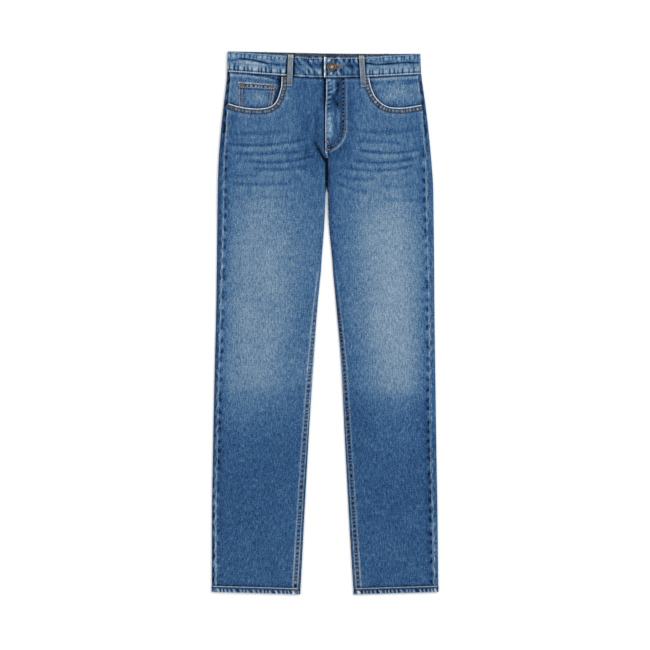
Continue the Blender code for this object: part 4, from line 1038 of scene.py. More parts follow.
def front_stitching(side, thread, tonal):
    """Topstitching on one front: pocket, side seam, inseam and fly."""

    def spot(across, down, lift=0.0):
        """One point on the front."""
        return on_front(side, np.array([across]), np.array([down]), lift)[0]

    mouth = mouth_path(side)[1:-1]
    shapes = [sewn(on_front(side, *offset(mouth, distance).T, 0.62), dye)
              for distance, dye in ((2.9, BROWN + 20), (9.6, BROWN))]
    down = np.arange(118.0, LENGTH - 19.0, 3.0)
    quiet = [sewn(front_points(side, down, seam_run(side, down) - 2.2), 112)]
    down = np.arange(480.0, LENGTH - 19.0, 3.0)
    start = through(SEAMS, "inseam_turn", down)
    shapes += [sewn(front_points(side, down, start + distance), dye, width=0.75)
               for distance, dye in ((3.2, BROWN + 10), (8.4, BROWN + 40))]
    corner = (78.6, 52.6, BROWN - 4)
    if side == "left":
        corner = (81.6, 53.0, BROWN + 26)
        for key, dye in (("outer", BROWN + 50), ("inner", BROWN - 20)):
            shapes.append(sewn(on_front(side, *path_through(FLY_ROWS[key], 2.0).T), dye, width=1.4))
        down = np.arange(53.0, 188.0, 2.0)
        quiet.append(sewn(on_front(side, through(FLY, "over_edge", down) + 2.4, down), 120))
        down = np.arange(193.0, 207.0, 1.0)
        quiet.append(sewn(on_front(side, np.full(len(down), 4.0), down), 190))
        shapes += [bar_tack(spot(3.6, 174.5), (1.0, 0.1), 6, 3.8, BROWN + 46),
                   bar_tack(spot(5.4, 189.4), (1.0, 0.1), 8.4, 2.8, BROWN + 34, 0.5)]
    shapes.append(bar_tack(spot(*corner[:2], 0.3), (0.15 * SIGN[side], 1.0), 6.4, 4.4, corner[2]))
    end = mouth[-2] + [-1.0, 6.0]
    shapes.append(bar_tack(spot(*end, 0.6), (0.0, 1.0), 6.5, 2.4, BROWN - 22, 0.4))
    return [build("topstitching_front_" + side, shapes, thread),
            build("tonal_stitching_front_" + side, quiet, tonal)]


def back_runs(side, down):
    """Runs of a back panel's columns: round the inseam, under and up the side."""
    tube = section(side, "back", down)
    turn = math.pi * tube.half
    turned = (SEAM_GAP - turn - through(SEAMS, "inseam_turn", down)) * through(SEAMS, "back_roll", down)
    inset = through(SEAMS, "side_" + side, down) - tube.half - 0.5 * SEAM_GAP
    stops = [turned, 6.0, tube.flat, tube.flat + turn, tube.flat + turn + inset]
    columns = []
    for start, end, count in zip(stops, stops[1:], (8, int(190 / BACK_CELL) - 1, 10, 8)):
        columns += [start + (end - start) * share for share in np.arange(count) / count]
    return columns + stops[-1:]


def yoke_edges(side, x, on_top):
    """Distances down of a yoke's upper and lower edge."""
    top = np.where(on_top, waist_seam(x, "front"), waist_seam(x, "back")) + SEAM_GAP
    return top, yoke_line(side, x, on_top) - 0.5 * SEAM_GAP


def back_edges(side, x, on_top):
    """Distances down of a back panel's upper and lower edge."""
    low = hem_bottom(side, SIGN[side] * x) - HEM_DEPTH - SEAM_GAP
    return yoke_line(side, x, on_top) + 0.5 * SEAM_GAP, low


def back_piece(name, side, edges, low_at, rows, finish):
    """A piece of the back: the tube's skins between two edges given by column."""
    half = HALVES[side]

    def edge(at):
        """Both edges, where the columns lie at a distance down."""
        x, z = skin(side, "back", at, np.array(back_runs(side, at), dtype=float))
        return edges(side, x, z > FRONT_ABOVE)

    tops, lows = edge(90.0)[0], edge(low_at)[1]
    down = tops + (lows - tops) * np.linspace(0, 1, rows)[:, None]
    run = np.stack([column[:, k] for k, column in enumerate(back_runs(side, down))], axis=1)
    tube = section(side, "back", down)
    rolled = (run - tube.flat) / tube.half
    near_side = tube.flat + (math.pi - 1) * tube.half + through(SEAMS, "side_" + side, down) - run
    on_top = eased(rolled, 0.5 * math.pi, math.pi)
    rise = 0.3 * bump(near_side, 0, 1.6) * on_top * (down > 104)
    rise = rise + 0.15 * pulses(down, 25, 5, 11 + half.seed) * bump(near_side, 2.5, 2)
    skins = []
    for depth in (0.0, CLOTH):
        x, z = skin(side, "back", down, run, depth - rise * on_top)
        skins.append(grid(x, down, z))
    across, seed = SIGN[side] * skins[0][..., 0], 51 + half.seed
    seat = bump(np.clip((across - 40) / 150, 0, 1), 0.45, 0.35) * bump(down, 210, 130)
    tone = 88 + 34 * seat + 6 * noise(across / 26, down / 44, seed)
    tone = tone + 10 * bump(down, 560, 40) * ripple(down + 0.4 * across, 17, seed)
    # painted shade on the rounded outer edge
    tone = tone - 40 * np.sin(np.clip(rolled, 0, math.pi)) ** 2 * (down > 50)
    tone = tone + on_top * (seam_wear_and_shade(side, -near_side, down) - half.back_seam)
    # painted shade on the roll of the leg's inner edge
    inner_roll_shade, inner_turn_shade = 30 * eased(down, 262, 290), 34 * eased(down, 300, 400)
    tone = tone - bumps(run, (inner_roll_shade, -3, 5), (inner_turn_shade, -5.2, 1.5))
    gap_shade = bump(across, 3, 9) * (down < 285) * (down > 160)
    tone = tone - 90 * gap_shade * eased(-run, 0, 2)
    return cloth(name + "_" + side + "_cloth", finish, *skins, tone, 66 - 60 * gap_shade)


def back_stitching(side, thread):
    """Topstitching of the yoke and of the middle seam, seen from below."""
    across = np.linspace(2, edge_across(side, 90.0) - 6, 60)
    rows = [(across, yoke_line(side, across, False) + shift) for shift in (2, 8)]
    if side == "left":
        down = np.arange(46.0, 258.0, 3.0)
        rows += [(np.full(len(down), away), down) for away in (2.0, 8.0)]
    shapes = [sewn(grid(SIGN[side] * away, down, back_lift(down)), TAN, up=-1) for away, down in rows]
    return build("topstitching_back_" + side, shapes, thread)


def declare(piece, stands_for):
    """Hide the imported solid that a sheet of cloth stands for; the piece itself is not used."""
    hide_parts(stands_for)


class JEANS_OT_legs(bpy.types.Operator):
    """Make the fronts, the backs, the yokes and their stitching"""

    bl_idname = "jeans.legs"
    bl_label = "Legs and yokes"

    def execute(self, context):
        denim = washed_denim("stone_washed_denim")
        thread = sewing_thread("spun_polyester_thread", THREADS)
        tonal = sewing_thread("tonal_blue_thread", TONAL)
        for side in SIDES:
            yoke = back_piece("yoke", side, yoke_edges, 90.0, 20, denim)
            back = back_piece("back", side, back_edges, LENGTH, 220, denim)
            sewing, pocket = back_stitching(side, thread), ["back_pocket_" + side]
            declare(yoke, "yoke_" + side)
            declare(back, "back_" + side)
            front = front_panel(side, denim)
            trims = [mouth_strip(side, denim), *front_stitching(side, thread, tonal)]
            declare(front, "front_" + side)
        return {"FINISHED"}


# ---- pockets ----------------------------------------------------------------------------
def facing_height(side, across, down):
    """Upper skin of a pocket's facing, which rises to the seams round it."""
    edge = seam_across(side, down)
    mouth = through(POCKET[side], "down", across)
    to_side = eased(across, edge - 20, edge) * eased(mouth - down, 5, 22)
    to_waist = waned(below_waist(side, across, down), 0, 13)
    return FACING_TOP + np.maximum(2.6 * to_side, 1.15 * to_waist)


def facing_tone(side, across, down):
    """Tone of the cloth in a pocket's mouth: dark where the front shades it."""
    half = HALVES[side]
    tone = half.facing + 8 * noise(across / 18, down / 15, 61 + half.seed)
    tone = tone + 14 * bump(across, 140, 30) * bump(down, 80, 20)
    mouth = away_from(mouth_path(side), across, down)
    tone = tone + bumps(mouth, (-50, 0, 3.8), (-14, 0, 12))
    if side == "right":
        tone = tone - 46 * bump(mouth, 2, 6.5) * waned(across, 100, 118)
    # painted shadow under the waist seam, a painted highlight on the facing's top edge, then a little
    # darker
    tone = tone + bumps(below_waist(side, across, down), (-58, 0, 1.9), (34, 5, 2), (-16, 12, 4))
    tone = tone + 26 * bump(seam_across(side, down) - across, 1.5, 1.6)
    return tone + marks(FACING_MARKS[side], across, down)[0]


def pocket_facing(side, finish):
    """The facing: a grid from the waist seam to a line tucked under the front."""
    curve = path_through(POCKET[side][1:], 2.2)
    low = offset(curve, FACING_TUCK)
    share = np.linspace(0, 1, len(curve))
    steps = np.linspace(0, 1, 36)[:, None]
    top_across = FACING_INNER + (seam_across(side, 50.0) - SEAM_GAP - FACING_INNER) * share
    top_down = waist_seam(SIGN[side] * top_across, "front") + SEAM_GAP
    across = top_across + (low[:, 0] - top_across) * steps
    down = top_down + (low[:, 1] - top_down) * steps
    short = seam_across(side, down[:, -1]) - SEAM_GAP - across[:, -1]
    across = across + short[:, None] * share**6
    top = facing_height(side, across, down) + 0.12 * noise(across / 14, down / 14, 63)
    x = SIGN[side] * across
    return cloth("pocket_facing_" + side + "_cloth", finish, grid(x, down, top),
                 grid(x, down, top - LIGHT_CLOTH), facing_tone(side, across, down), 60)


def coin_top(u, v, lift=0.0):
    """Places on the coin pocket at shares of its width and height.

    Its turned top and sides stand a little proud.  Gives the points and their
    distances from the rim, from the middle line and down.
    """
    a, b, c, d = COIN_CORNERS
    wide, high = u[..., None], v[..., None]
    place = (1 - high) * ((1 - wide) * a + wide * b) + high * ((1 - wide) * c + wide * d)
    across, down = place[..., 0], place[..., 1]
    rim = np.minimum(np.minimum(u, 1 - u) * COIN_WIDE, v * COIN_HIGH)
    rise = 0.35 * waned(v * COIN_HIGH, 9.5, 11) + 0.2 * waned(rim, 4.5, 6)
    rise = rise + 0.1 * ripple(u * COIN_WIDE, 7, 71) * bump(v * COIN_HIGH, 5, 3)
    rise = rise - 0.5 * bump(rim, 0, 0.6)
    base = facing_height("right", across, down) + SEAM_GAP
    return grid(-across, down, base + LIGHT_CLOTH + rise + lift), rim, across, down, base


def coin_pocket(finish):
    """The small fifth pocket, with a stitched hem along its top."""
    u, v = np.broadcast_arrays(np.linspace(0, 1, 46), np.linspace(0, 1, 40)[:, None])
    top, rim, across, down, base = coin_top(u, v)
    high, wide = v * COIN_HIGH, u * COIN_WIDE
    broken = 0.6 + 0.4 * noise(wide / 8, 0, 73)
    tone = 88 + 8 * noise(across / 12, down / 12, 72) + 30 * bump(wide, 30, 18) * bump(high, 28, 13)
    tone = tone + bumps(high, (96, 0.3, 1.5), (-46, 3.1, 1.1), (72 * ripple(wide, 7, 71) + 4, 5.8, 2.2),
                        (-34, 9, 1), (22, 15.2, 1.4), (-46 * broken, 12.4, 1.5))
    # painted shadow round the two tacks
    corner = -44 * bump(high, 5.5, 5.5)
    from_side = np.minimum(wide, COIN_WIDE - wide)
    tone = tone + bumps(from_side, (36, 0.4, 1.2), (-12, 4, 1.6), (-16, 8.5, 2), (corner, 5, 6))
    # painted shadow of the front's pocket mouth on the coin pocket
    tone = tone - 40 * bump(away_from(mouth_path("right"), across, down), 0, 4)
    return cloth("coin_pocket_cloth", finish, top, grid(-across, down, base), tone, 70,
                 tint=0.5 * bump(rim, 4, 3.4))


def coin_stitching(thread):
    """Two rows along the coin pocket's top and down each side, and its two tacks."""
    run, drop = np.linspace(0.03, 0.97, 40), np.linspace(0.03, 0.9, 30)
    shapes = [sewn(coin_top(run, 0 * run + high / COIN_HIGH, 0.05)[0], dye)
              for high, dye in ((2.6, TAN - 34), (8.8, TAN + 34))]
    for wide in (2.2, 6.8, COIN_WIDE - 2.2, COIN_WIDE - 6.8):
        row = coin_top(0 * drop + wide / COIN_WIDE, drop, 0.05)[0]
        shapes.append(sewn(row, TAN + 15, width=0.8))
    for u in (0.085, 0.915):
        centre = coin_top(np.array([u]), np.array([5.6 / COIN_HIGH]), 0.1)[0][0]
        shapes.append(bar_tack(centre, (1.0, 0.06), 8, 5, BROWN + 12))
    return build("topstitching_coin_pocket", shapes, thread)


def back_pocket(side, denim, thread):
    """A five-cornered patch pocket on the seat, with its double stitching."""
    p = BACK_POCKET
    share = np.linspace(0, 1, 33)[None, :]
    steps = share.T

    def place(u, v):
        """x and distance down at shares of the pocket's width and height."""
        tip = p["tip"] - (p["tip"] - p["side"]) * np.abs(2 * u - 1)
        half_width = 0.5 * (p["outer"] - p["inner"]) - p["taper"] * v
        across = 0.5 * (p["inner"] + p["outer"]) + half_width * (2 * u - 1)
        return SIGN[side] * across, p["top"] + (tip - p["top"]) * v

    x, down = place(share, steps)
    rim = 140 * np.minimum(np.minimum(share, 1 - share), np.minimum(steps, 1 - steps))
    tone = 96 + 6 * noise(SIGN[side] * x / 20, down / 20, 81)
    tone = tone + bumps(rim, (44, 0, 1.8), (-18, 6, 3), (16, 60, 40))
    piece = cloth("back_pocket_" + side + "_cloth", denim, grid(x, down, 0.25 * bump(rim, 0, 1.5)),
                  grid(x, down, BACK_LIFT - SEAM_GAP), tone, 80)
    shapes = []
    line = np.linspace(0, 1, 40)
    for inset in (0.018, 0.06):
        far = 1 - inset
        for u_a, u_b, v_a, v_b in ((inset, inset, 0, far), (far, far, 0, far), (inset, 0.5, far, far),
                                   (0.5, far, far, far), (0, 1, 1.6 * inset, 1.6 * inset)):
            row = place(u_a + (u_b - u_a) * line, v_a + (v_b - v_a) * line)
            shapes.append(sewn(grid(*row, 0.32), TAN, up=-1))
    return piece, build("topstitching_back_pocket_" + side, shapes, thread)


class JEANS_OT_pockets(bpy.types.Operator):
    """Make the front facings, the coin pocket and the back pockets"""

    bl_idname = "jeans.pockets"
    bl_label = "Pockets"

    def execute(self, context):
        facing = washed_denim("washed_facing_denim", 1.1)
        denim = bpy.data.materials["stone_washed_denim"]
        thread = bpy.data.materials["spun_polyester_thread"]
        for side in SIDES:
            declare(pocket_facing(side, facing), "pocket_facing_" + side)
            piece, sewing = back_pocket(side, denim, thread)
            declare(piece, "back_pocket_" + side)
        piece, sewing = coin_pocket(facing), coin_stitching(thread)
        declare(piece, "coin_pocket")
        return {"FINISHED"}


# ---- hems -------------------------------------------------------------------------------
def hem_place(side, run, share, depth=0.0):
    """Places on a hem: x, distance down, height, roping's wave and how far on top."""
    flat = section(side, "front", LENGTH, HEM_PROUD).flat
    x, z = skin(side, "front", LENGTH, run, depth, HEM_PROUD)
    slant = run / flat * ROPING_COUNT + 0.4 * SIGN[side] * share + 0.3 * noise(run / 14, 0, 91)
    wave = np.cos(2 * math.pi * slant)
    top = between(run, (-2, 2), (flat - 1, flat + 3))
    if depth == 0:
        rope = 0.26 * wave * bump(share, 0.36, 0.24) - 0.3
        z = z + top * (rope + bumps(share, (0.22, 0.3, 0.3), (-0.5, 0, 0.05), (-0.5, 1, 0.05)))
    return x, hem_bottom(side, SIGN[side] * x) - HEM_DEPTH * share, z, wave, top


def hem(side, denim, thread):
    """The turned-up hem: a flat ring round the tube with slanting puckers."""
    tube = section(side, "front", LENGTH, HEM_PROUD)
    flat, turn = tube.flat, math.pi * tube.half
    share = np.arange(1, 11) / 10
    run = np.concatenate([np.linspace(0, flat, ROPING_COUNT * 9 + 1), flat + turn * share,
                          flat + turn + flat * np.arange(1, 36) / 36, -turn * share[::-1]])
    step = np.linspace(1, 0, 15)[:, None]
    x, down, z, wave, top = hem_place(side, run, step)
    inner = grid(*hem_place(side, run, step, HEM_WALL)[:3])
    under = eased(run, flat + turn, flat + turn + 4)
    ticks = np.tanh(1.8 * wave - 0.35) * (0.8 + 0.3 * noise(run / 9, 0, 92))
    ticks = ticks * between(step, (0, 0.12), (0.5, 0.68))
    ends = bumps(run, (52, 6, 6), (44, flat - 4, 6))
    # off the top face, on the rounded edges and underside, the hem gets painted shade
    tone = (HALVES[side].hem + (66 * top + 30 * under) * ticks + 30 * under - 25 * (1 - top)
            + bumps(step, (26 * top, 0.3, 0.24), (104 * top, 0.92, 0.06), (64, 0.05, 0.09),
                    (-50, 0.7, 0.08), (ends, 0.4, 0.4)))
    tint = (0.25 * bump(step, 0.6, 0.1) + 0.6 * bump(run, 6, 6)) * top
    piece = cloth("hem_" + side + "_cloth", denim, grid(x, down, z), inner, tone, 60, tint=tint,
                  ring=True)
    x, down, z = hem_place(side, np.linspace(1, float(flat) - 1, 90), 0.68)[:3]
    shapes = [sewn(grid(x, down, z), BROWN - 6, width=1.8)]
    down = hem_bottom(side, SIGN[side] * x) - 7.8
    shapes.append(sewn(grid(x, down, 0.05), BROWN + 6, up=-1))
    return piece, build("topstitching_hem_" + side, shapes, thread)


class JEANS_OT_hems(bpy.types.Operator):
    """Make the turned-up hems with their roping"""

    bl_idname = "jeans.hems"
    bl_label = "Hems"

    def execute(self, context):
        denim = bpy.data.materials["stone_washed_denim"]
        thread = bpy.data.materials["spun_polyester_thread"]
        for side in SIDES:
            piece, sewing = hem(side, denim, thread)
            declare(piece, "hem_" + side)
        return {"FINISHED"}


# ---- waistband and fly --------------------------------------------------------------------
def band_crease(x, below):
    """Height of the long creases along the waistband's front."""
    height = np.zeros(np.broadcast(x, below).shape)
    for crease in BAND_CREASES:
        height += crease.height * bump(line_share(x, below, crease[:4])[1], 0, crease.spread)
    return height


def band_height(x, right_end):
    """Upper skin of the waistband's front: it sinks and rises where it laps."""
    if right_end:
        return BAND_TOP - UNDERLAP_SINK * eased(x, -16, -3.5)
    return BAND_TOP + OVERLAP_RISE * waned(x, 40, 66)


def band_marks(x, below, lap):
    """Tone of the band's small folds, their painted shade and light, and their height, before the lap
    and on it.
    """
    before, after = (marks(BAND_MARKS[key], x, below) for key in ("start", "lap"))
    return [a * (1 - lap) + b * lap for a, b in zip(before, after)]


def band_relief(x, below, lap):
    """Puckers along both edges of the band and round the button, and small folds."""
    low = 0.22 * ripple(x, 8.7, 101)
    high = 0.16 * ripple(x, 7.6, 102) * (0.35 + 0.65 * eased(x, 100, 130))
    total = bumps(below, (low, 34, 5), (high, 4.5, 3), (-0.7, 0, 0.8), (-0.7, BAND_WIDTH, 0.8),
                  (-0.22, 2.8, 0.8), (-0.3, 37.6, 0.8))
    pulled = lap * bump(np.hypot(x - BUTTON_X, 1.3 * (below - BUTTON_BELOW)), 13, 6)
    total = total + 0.2 * pulled * np.sin(0.55 * x + 0.35 * below)
    return total + band_marks(x, below, lap)[1] * between(below, (1, 3), (36.5, 38.5))


def band_tone(x, below, lap):
    """Tone of the waistband's front: worn below, creases with painted shade, unworn cloth
    darkened with painted shadow beside the loops, and painted shadow round the button.
    """
    middle = between(x, (-66, -60), (64, 70))
    tone = (np.where(x < 0, 107, 104) + np.where(x < 0, 7, 5) * eased(below, 17, 26)
            + np.where(x < -76, 7, 0) * waned(below, 12, 20) - middle * np.where(lap > 0.5, 18, 24)
            + 5 * noise(x / 16, below / 9, 103) + 5 * noise(x / 2.2, below / 7, 106)
            + 50 * middle * noise((x - 0.8 * below) / 6, (below + 0.5 * x) / 15, 108))
    ticks = np.where(x > 0, pulses(x, 9.8, 1.6, 101), pulses(x, 9, 1.6, 107))
    low = (1 - 0.5 * middle) * (36 - 138 * ticks)
    high = (0.6 + 0.4 * eased(x, 90, 120) + 0.3 * (x < -80)) * (34 - 116 * pulses(x, 8.4, 1.6, 102))
    # the folds' painted shade and light, puckers along both edges, a darker top edge and painted shadow
    # along the lower edge
    tone = tone + band_marks(x, below, lap)[0] + bumps(
        below, (low, 31.5, 5.5), (high, 6.5, 3.6), (-44, 0, 0.7), (24, 1.7, 0.9), (-26, 3.6, 1),
        (30 * middle - 64, 35.3, 1.2), (30, 38.2, 1), (-64, BAND_WIDTH, 0.9))
    # beside each loop, darker unworn cloth with painted shadow on it
    for top_x, low_x in FRONT_LOOPS.values():
        away = np.abs(x - top_x - (low_x - top_x) * below / LOOP_SHADE_LENGTH)
        tone = tone + bumps(away, (-96, 6.4, 1.9), (8, 12, 3))
    # painted shadow in a ring round the button
    ring = np.hypot(x - BUTTON_X, below - BUTTON_BELOW)
    pull = 26 * np.sin(0.62 * x + 0.42 * below)
    worn_end = 122 * (1 - 0.4 * bump(below, 39, 3))
    return tone + lap * (bumps(ring, (-34, BUTTON_RADIUS, 2.4), (pull, 13, 5))
                         + bumps(x - OVERLAP_END, (worn_end, 0.6, 2.2), (-34, 5.4, 1.2)))


def band_strip():
    """Columns of the waistband from the underlap round the back to its end.

    Gives x and height of both skins, then for each column its share on the front,
    and 1 or 0 for the end that laps over and for the start that lies under it.
    """
    radius, middle = 0.5 * (BAND_TOP - BACK_LIFT), 0.5 * (BAND_TOP + BACK_LIFT)
    right_fold = float(through(OUTLINE, "right_outer", 20)) + radius
    left_fold = float(through(OUTLINE, "left_outer", 24)) - radius
    first = np.concatenate([np.linspace(UNDERLAP_END, -1, 24)[:-1], np.linspace(-1, right_fold, 120)])
    back = np.linspace(right_fold, left_fold, 110)
    last = np.concatenate([np.linspace(left_fold, 0, 124), [-0.6, -1.1, -1.5, OVERLAP_END]])
    turn = math.pi * np.arange(1, 12) / 12
    skins = []
    for depth in (0.0, BAND_WALL):
        thin = radius - depth
        x = np.concatenate([first, right_fold - thin * np.sin(turn), back,
                            left_fold + thin * np.sin(turn), last])
        z = np.concatenate([band_height(first, True) - depth, middle + thin * np.cos(turn),
                            np.full(len(back), BACK_LIFT + depth), middle - thin * np.cos(turn),
                            band_height(last, False) - depth])
        skins.append((x, z))
    front = np.concatenate([np.ones(len(first)), 0.5 + 0.5 * np.cos(turn), np.zeros(len(back)),
                            0.5 - 0.5 * np.cos(turn), np.ones(len(last))])
    at = np.arange(len(front))
    return skins, front, 1.0 * (at >= len(front) - len(last)), 1.0 * (at < len(first))


def slit_cutter(finish):
    """A keyhole's outline carried up through the overlap: eyelet and slit."""
    angle = np.linspace(SLIT_TURN, 2 * math.pi - SLIT_TURN, 24)
    x = np.concatenate([BUTTON_X + EYELET_RADIUS * np.cos(angle), [BUTTONHOLE_END_X] * 2])
    y = np.concatenate([EYELET_RADIUS * np.sin(angle), [-0.5 * SLIT_WIDTH, 0.5 * SLIT_WIDTH]])
    levels = np.array(CUT_LEVELS)[:, None]
    return build("buttonhole_cutter", [rod(grid(x, BUTTON_DOWN - y, levels), 20)], finish, 38.0)


def waistband(denim):
    """The band as one strip, cut by the buttonhole."""
    below = np.array([0, 0.5, 1.1, 1.9, 2.8, 3.8, 5, 6.2, 7.6, *np.arange(9, 37, 1.5), 37, 38, 38.8,
                      39.5, BAND_WIDTH])[:, None]
    skins, front, lap, start = band_strip()
    outer_x = skins[0][0]
    grids = []
    for (x, z), relief in zip(skins, (band_relief(outer_x, below, lap), 0.0)):
        edge = band_edge(x, "front") * front + band_edge(x, "back") * (1 - front)
        lift = (band_crease(x, below) + relief) * (front > 0.99)
        flare = 0.03 * (below - 20) * np.sign(x) * (np.abs(x) > 150)
        grids.append(grid(x + flare, edge + below, z + lift))
    shaded = start * eased(outer_x, -7.4, -5.6)
    tone = band_tone(outer_x, below, lap) * (1 - shaded) + 16 * shaded
    # painted shade where the band turns round its folds at the hips
    tone = tone - 30 * np.sin(math.pi * front) ** 2
    tone = np.where(front < 0.01, 98 + 8 * ripple(outer_x, 9, 104) * bump(below, 34, 5), tone)
    # the inside, seen along the back's top edge, is the grey of denim's wrong side darkened with
    # painted shade
    piece = cloth("waistband_cloth", denim, *grids, tone, 64 + 12 * noise(outer_x / 9, below / 5, 105),
                  tint=0.2 * bump(below, 38, 1.4) * front, inner_tint=0.85)
    cutter = slit_cutter(denim)
    cut = piece.modifiers.new("buttonhole", "BOOLEAN")
    cut.operation = "DIFFERENCE"
    cut.object = cutter
    bpy.context.view_layer.update()
    seen = piece.evaluated_get(bpy.context.evaluated_depsgraph_get())
    pierced = bpy.data.meshes.new_from_object(seen)
    piece.modifiers.clear()
    piece.data = pierced
    bpy.data.objects.remove(cutter)
    return piece


def band_row(x, below, face="front"):
    """Points along the waistband for a row of stitching."""
    if face == "back":
        return grid(x, band_edge(x, "back") + below, BACK_LIFT)
    height = np.where(x > -3, band_height(x, False), band_height(x, True))
    rise = band_crease(x, below) + band_relief(x, below, 1.0 * (x > -3))
    return grid(x, band_edge(x, "front") + below, height + rise)


def purl():
    """The buttonhole's purl: short stitches square to the keyhole's edge."""
    angle = np.linspace(SLIT_TURN + 0.2, 2 * math.pi - SLIT_TURN - 0.2, 34)
    ring, fan = (grid(np.cos(turn), np.sin(turn), 0) for turn in (angle, np.linspace(-1.2, 1.2, 9)))
    bar = np.arange(BUTTON_X + EYELET_RADIUS + 0.6, BUTTONHOLE_END_X + 0.4, 0.62)
    flank = 1.45 + 0.5 * waned(bar, BUTTON_X + 8, BUTTONHOLE_END_X)
    level = BAND_TOP + OVERLAP_RISE + 0.35
    centre, out = [ring * (EYELET_RADIUS + 1.3) + [BUTTON_X, BUTTON_DOWN, level]], [ring]
    for way in (-1.0, 1.0):
        centre.append(grid(bar, BUTTON_DOWN + way * flank, level))
        out.append(np.tile([0.0, way, 0.0], (len(bar), 1)))
    centre = np.concatenate([*centre, fan * 1.9 + [BUTTONHOLE_END_X, BUTTON_DOWN, level]])
    dye = BROWN + 34 + 10 * lattice(np.arange(len(centre)), 2, 3)
    return lozenges(centre, np.concatenate([*out, fan]), upright(len(centre)), 2.5, 0.85, dye, 0.8)


def band_stitching(thread):
    """Rows along the band's edges, the end's row and the buttonhole's purl."""
    shapes = []
    for below, rows in ((3.4, ((-100, -3, TAN + 30), (0.2, 112, TAN + 36))),
                        (37.4, ((-186, -62, CREAM), (-60, -3, TAN + 8), (0.2, 66, TAN - 6),
                                (72, 182, CREAM - 6)))):
        for start, end, dye in rows:
            shapes.append(sewn(band_row(np.arange(start, end, 2.0), below), dye, pitch=4.4))
        shapes.append(sewn(band_row(np.arange(-180.0, 176.0, 4.0), below, "back"), TAN, up=-1))
    shapes.append(sewn(band_row(np.full(20, 1.2), np.linspace(3.4, 37, 20)), TAN + 20))
    return build("topstitching_waistband", [*shapes, purl()], thread)


def button(finish):
    """A tack button turned from a profile: shank, cupped cap and rolled rim."""
    foot = BAND_TOP - UNDERLAP_SINK + SEAM_GAP
    seat = BAND_TOP + OVERLAP_RISE + SEAM_GAP
    # rim: distance in from the edge, height above the seat and tone; cup: the same
    # with the distance from the middle.  The tones are dark patina in the hollows; the
    # rim and the middle of the cup are bright, partly rubbed metal and partly a
    # painted highlight.
    rim = [(1.2, 0, 20), (0.5, 0.2, 30), (0.1, 0.6, 50), (0, 1.1, 60), (0.15, 1.7, 70),
           (0.6, 2.15, 105), (1.2, 2.3, 95), (1.8, 2.1, 45), (2.2, 1.75, 5), (2.9, 1.65, 20)]
    cup = [(4.4, 1.75, 70), (3.2, 1.95, 110), (2.6, 1.9, 55), (2.1, 2, 110), (1.2, 2.2, 165),
           (0.5, 2.28, 175), (0.02, 2.3, 175)]
    profile = [(0.02, foot, 20), (SHANK_RADIUS, foot, 20), (SHANK_RADIUS, seat, 20)]
    profile += [(BUTTON_RADIUS - inset, seat + rise, tone) for inset, rise, tone in rim]
    profile += [(radius, seat + rise, tone) for radius, rise, tone in cup]
    radius, level, tone = np.array(profile).T[..., None]
    turn = 2 * math.pi * np.arange(56) / 56
    loops = grid(BUTTON_X + radius * np.cos(turn), BUTTON_DOWN + radius * np.sin(turn), level)
    return build("waist_button_turned", [rod(loops, tone)], finish, 50.0)


def under_fly(name, finish, x, low, rows, base, wall, tone):
    """A thin sheet that lies level under the fly, from the waist seam down."""
    top = waist_seam(x, "front") + SEAM_GAP
    down = top + (low - top) * np.linspace(0, 1, rows)[:, None]
    return cloth(name, finish, grid(x, down, base + wall), grid(x, down, base), tone, tone)


def fly_shield(denim):
    """The flap behind the zip, rounded at its lower end."""
    x = np.linspace(-18, 40, 30)
    low = 190 - 34 * ((x + 18) / 58) ** 2.2
    return under_fly("fly_shield_cloth", denim, x, low, 50, SHIELD_BASE, LIGHT_CLOTH, 52)


def fly_zip(tape_finish, teeth_finish):
    """The closed zip behind the fly: two tapes with a chain of cast teeth."""
    left = FLY_UNDERLAP + 0.4
    x = np.linspace(left, left + 24, 17)
    low = np.interp(x, [left, left + 15, left + 24], [166, 166, 150])
    tape = under_fly("fly_zip_tape", tape_finish, x, low, 40, ZIP_BASE, 0.5, 70)
    at = np.arange(62.0, 160.0, 1.5)
    centre = grid(left + 12 + 0.9 * (-1.0) ** np.arange(len(at)), at, ZIP_BASE + 0.62)
    along = np.tile([1.0, 0.0, 0.0], (len(at), 1))
    chain = lozenges(centre, along, upright(len(at)), 4.4, 1.1, 150)
    return tape, build("fly_zip_teeth", [chain], teeth_finish)


class JEANS_OT_waist(bpy.types.Operator):
    """Make the waistband, its button, the shield and the zip behind the fly"""

    bl_idname = "jeans.waist"
    bl_label = "Waistband and fly"

    def execute(self, context):
        denim = bpy.data.materials["stone_washed_denim"]
        thread = bpy.data.materials["spun_polyester_thread"]
        copper = antique_copper("antique_copper_plate")
        band, sewing = waistband(denim), band_stitching(thread)
        declare(band, "waistband")
        turned = button(copper)
        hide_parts("waist_button")
        shield = fly_shield(denim)
        declare(shield, "fly_shield")
        tape, teeth = fly_zip(denim, copper)
        declare(tape, "fly_zip")
        return {"FINISHED"}


